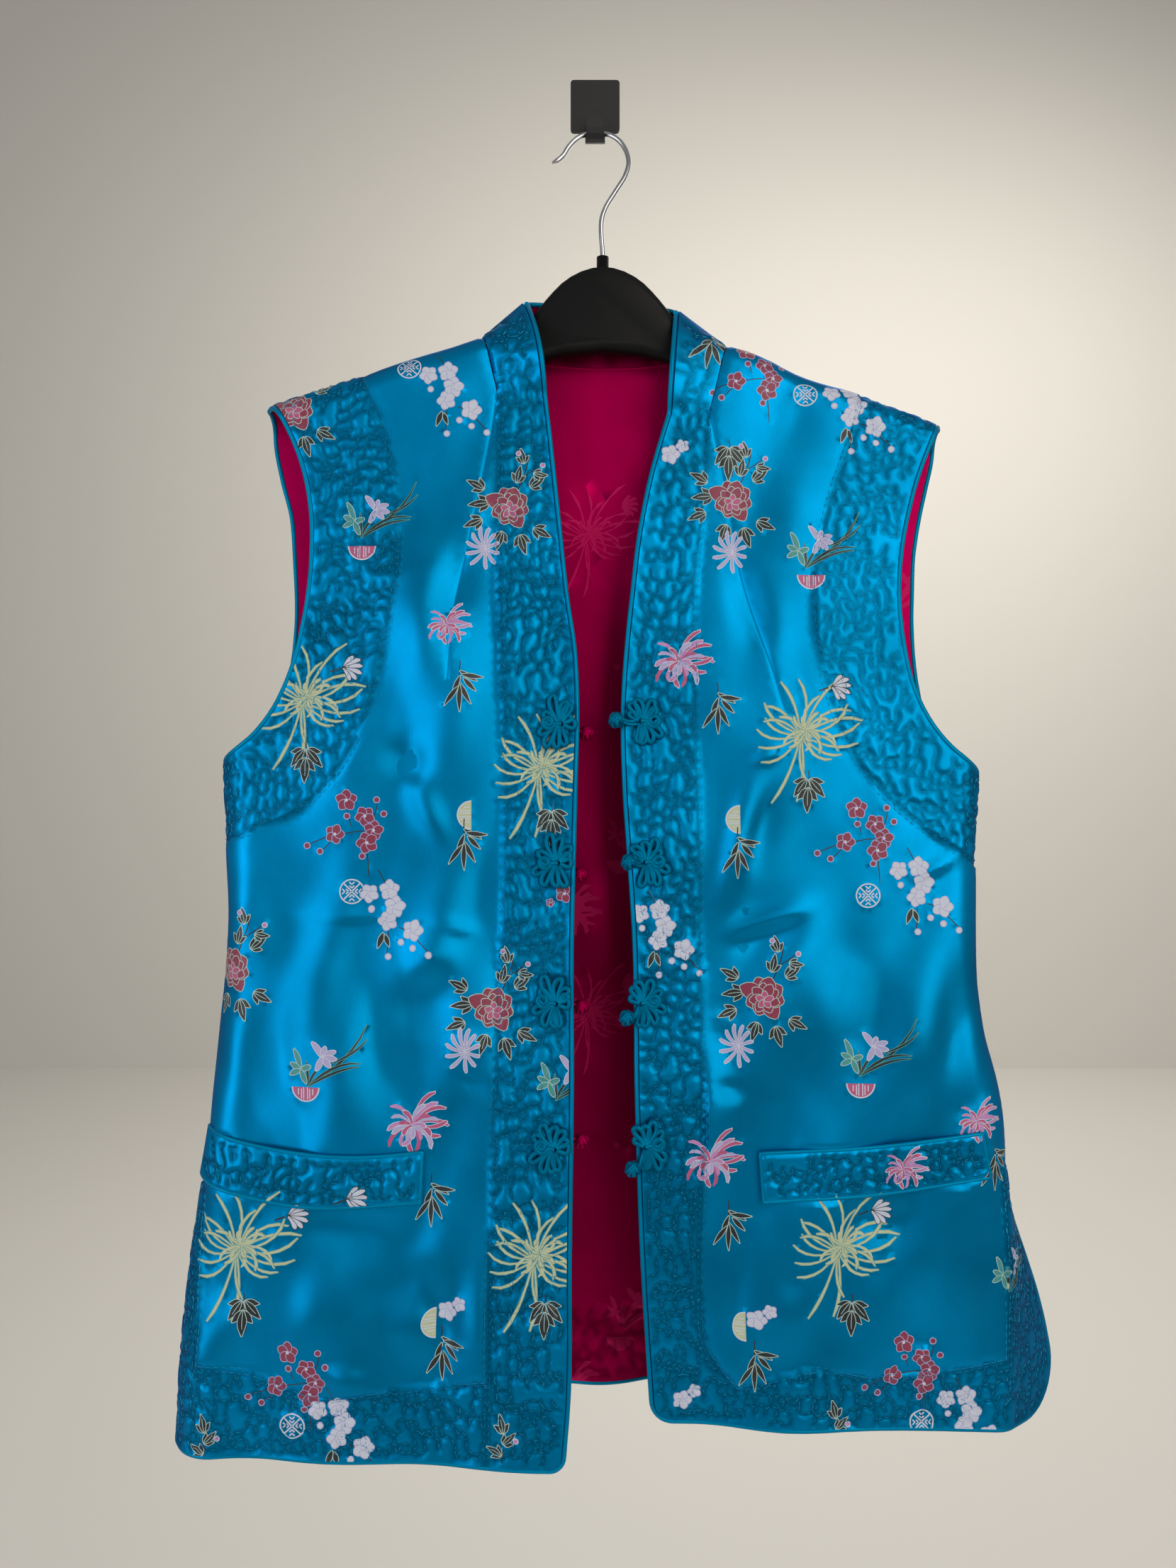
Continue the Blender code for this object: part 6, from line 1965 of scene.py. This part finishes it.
def loop_line(hub, loop):
    """The flat line of one loop of a frog, from its hub out and back."""
    s = np.linspace(0.02, 0.98, 21)
    reach = loop.long * np.sin(math.pi * s) ** 0.85
    spread = loop.wide * 0.5 * np.sin(2 * math.pi * s)
    turn = np.radians(loop.angle + loop.bend * reach / loop.long)
    out = reach * np.cos(turn) - spread * np.sin(turn)
    up = reach * np.sin(turn) + spread * np.cos(turn)
    return np.stack([hub[0] + out, hub[1] + up], axis=1)


def coil_line(hub, angle, far):
    """The flat line of a frog's coil: a loop that turns in on itself."""
    s = np.linspace(0, 1, 30)
    turn = math.radians(angle)
    centre = hub + far * np.array([math.cos(turn), math.sin(turn)])
    radius = 4.0 - 2.9 * s
    swing = turn + math.pi + s * math.radians(560)
    line = centre + np.stack([radius * np.cos(swing), radius * np.sin(swing)], axis=1)
    lead = np.linspace(hub, line[0], 5)[:-1]
    return np.concatenate([lead, line])


def merged(name, things):
    """Several meshes joined in one object."""
    bpy.ops.object.select_all(action="DESELECT")
    for thing in things:
        thing.select_set(True)
    bpy.context.view_layer.objects.active = things[0]
    bpy.ops.object.join()
    made = bpy.context.object
    made.name = name
    bpy.ops.object.select_all(action="DESELECT")
    return made


def ball_knot(name, centre, radius, finish):
    """A button knot: bias tube plaited into a ball, four bands over and under each other."""
    made = []
    for k in range(4):
        phi = np.linspace(0, math.tau, 29)[:-1]
        tilt = math.radians(45 * k + 20)
        weave = radius * (0.7 + 0.06 * np.cos(4 * phi + k * math.pi))
        sway = radius * 0.2 * np.sin(2 * phi + k)
        ring = np.stack([weave * np.cos(phi), sway, weave * np.sin(phi)], axis=1)
        x = ring[:, 0] * math.cos(tilt) - ring[:, 1] * math.sin(tilt)
        y = ring[:, 0] * math.sin(tilt) + ring[:, 1] * math.cos(tilt)
        ring = np.stack([x, y, ring[:, 2]], axis=1)
        ring = ring @ np.array([[1, 0, 0], [0, 0.8, 0.6], [0, -0.6, 0.8]])
        made.append(tube(f"{name}_{k}", centre + ring, radius * 0.3, 8, finish, closed=True))
    return merged(name, made)


def stacked(line, lift, surface, hub):
    """Hangs a flat cord line over the cloth, a little higher near the hub where loops cross."""
    far = np.linalg.norm(line - hub, axis=1)
    return surface(line, lift + 1.3 * np.exp(-((far / 3.0) ** 2)))


for front, name, made in ((RIGHT, "right", right), (LEFT, "left", left)):
    surface = made["surface"]
    for row, centre in enumerate(front.frogs):
        chance = np.random.default_rng(60 + row + 10 * (front.side > 0))
        hub = np.array([centre.out - HUB_INWARD, centre.height])
        cords = []
        for loop in FROG_LOOPS:
            varied = loop._replace(
                angle=loop.angle + chance.uniform(-9, 9), long=loop.long * chance.uniform(0.84, 1.04)
            )
            cords.append(stacked(loop_line(hub, varied), FROG_LIFT, surface, hub))
        coil = coil_line(hub, 8 + chance.uniform(-6, 6), 7.5)
        cords.append(stacked(coil, FROG_LIFT + 0.5, surface, hub))
        if front.side < 0:
            heights, outs = zip(*[(spot.height, spot.out) for spot in front.opening[::-1]])
            arm = Loop(180, hub[0] - float(smooth(centre.height, heights, outs)) + 0.4, 4.6, 0)
            cords.append(stacked(loop_line(hub, arm), FROG_LIFT, surface, hub))
        tubes = [
            tube(f"frog_cord_{k}", line, FROG_CORD_RADIUS, 8, frog_satin_with_painted_shade)
            for k, line in enumerate(cords)
        ]
        frog = merged(f"{name}_frog_{row + 1}", tubes)
        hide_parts(f"frog_{name}_{row + 1}")
        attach(frog, "root")
        if front.side > 0:
            spot = np.array(front.buttons[row], float)
            ball = surface(spot[None], np.array([BALL_LIFT]))[0]
            strands = []
            for half_gap in (-STRAND_RADIUS, STRAND_RADIUS):
                t = np.linspace(0, 1, 12)[:, None]
                line = hub * (1 - t) + (spot + (3.2, 0)) * t
                line[:, 1] += half_gap * (1 - 0.35 * t[:, 0]) - 1.2 * np.sin(math.pi * t[:, 0])
                lift = FROG_LIFT + (BALL_LIFT - 0.6 - FROG_LIFT) * t[:, 0] ** 1.5
                strands.append(surface(line, lift))
            button = merged(
                f"left_button_{row + 1}",
                [ball_knot("knot", ball, BALL_RADIUS, frog_satin_with_painted_shade)]
                + [tube("strand", line, STRAND_RADIUS, 8, frog_satin_with_painted_shade) for line in strands],
            )
            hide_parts(f"button_{row + 1}")
            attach(button, "root")

# The lining's own ball knots: crimson satin, sewn inside the right front for wearing the
# waistcoat the other way out. Their heads peep past its edge.
RED_BALL_RADIUS = 4.5
RED_BALL_DEPTH = 8.6
RED_STEM = 1.2
red_knots = []
for row, spot in enumerate(RIGHT.buttons):
    surface = right["surface"]
    ball = surface(np.array([spot], float), np.array([-RED_BALL_DEPTH]))[0]
    t = np.linspace(0, 1, 10)
    line = np.stack([spot.out + 24 - 21 * t, np.full(10, float(spot.height))], axis=1)
    depth = -(LINING_FAR + RED_STEM + 0.5) - (RED_BALL_DEPTH - LINING_FAR - RED_STEM - 0.5) * t**2
    strands = [surface(line + (0, rise), depth) for rise in (-STRAND_RADIUS, STRAND_RADIUS)]
    knot = merged(
        f"red_lining_knot_{row + 1}",
        [ball_knot("knot", ball, RED_BALL_RADIUS, lining_satin)]
        + [tube("strand", strand, RED_STEM * 0.9, 8, lining_satin) for strand in strands],
    )
    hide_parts(f"lining_knot_{row + 1}")
    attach(knot, "root")
    red_knots.append(knot)

# The cut: the flat size of each piece's outline, before it was sewn and hung, is measured and not kept.
def cut_from(piece, outline):
    after = np.roll(outline, -1, axis=0)
    wide, tall = np.ptp(outline, axis=0)


for name, made in (("right", right), ("left", left)):
    cut_from(made["panel"], made["outline"])
    cut_from(linings[name], made["outline"])
    panel, sewing, cording = welts[name]
    cut_from(panel, made["welt"])
cut_from(back["panel"], back["outline"])
cut_from(linings["back"], back["outline"])
cut_from(collar, collar_outline)
cut_from(linings["collar"], collar_outline)
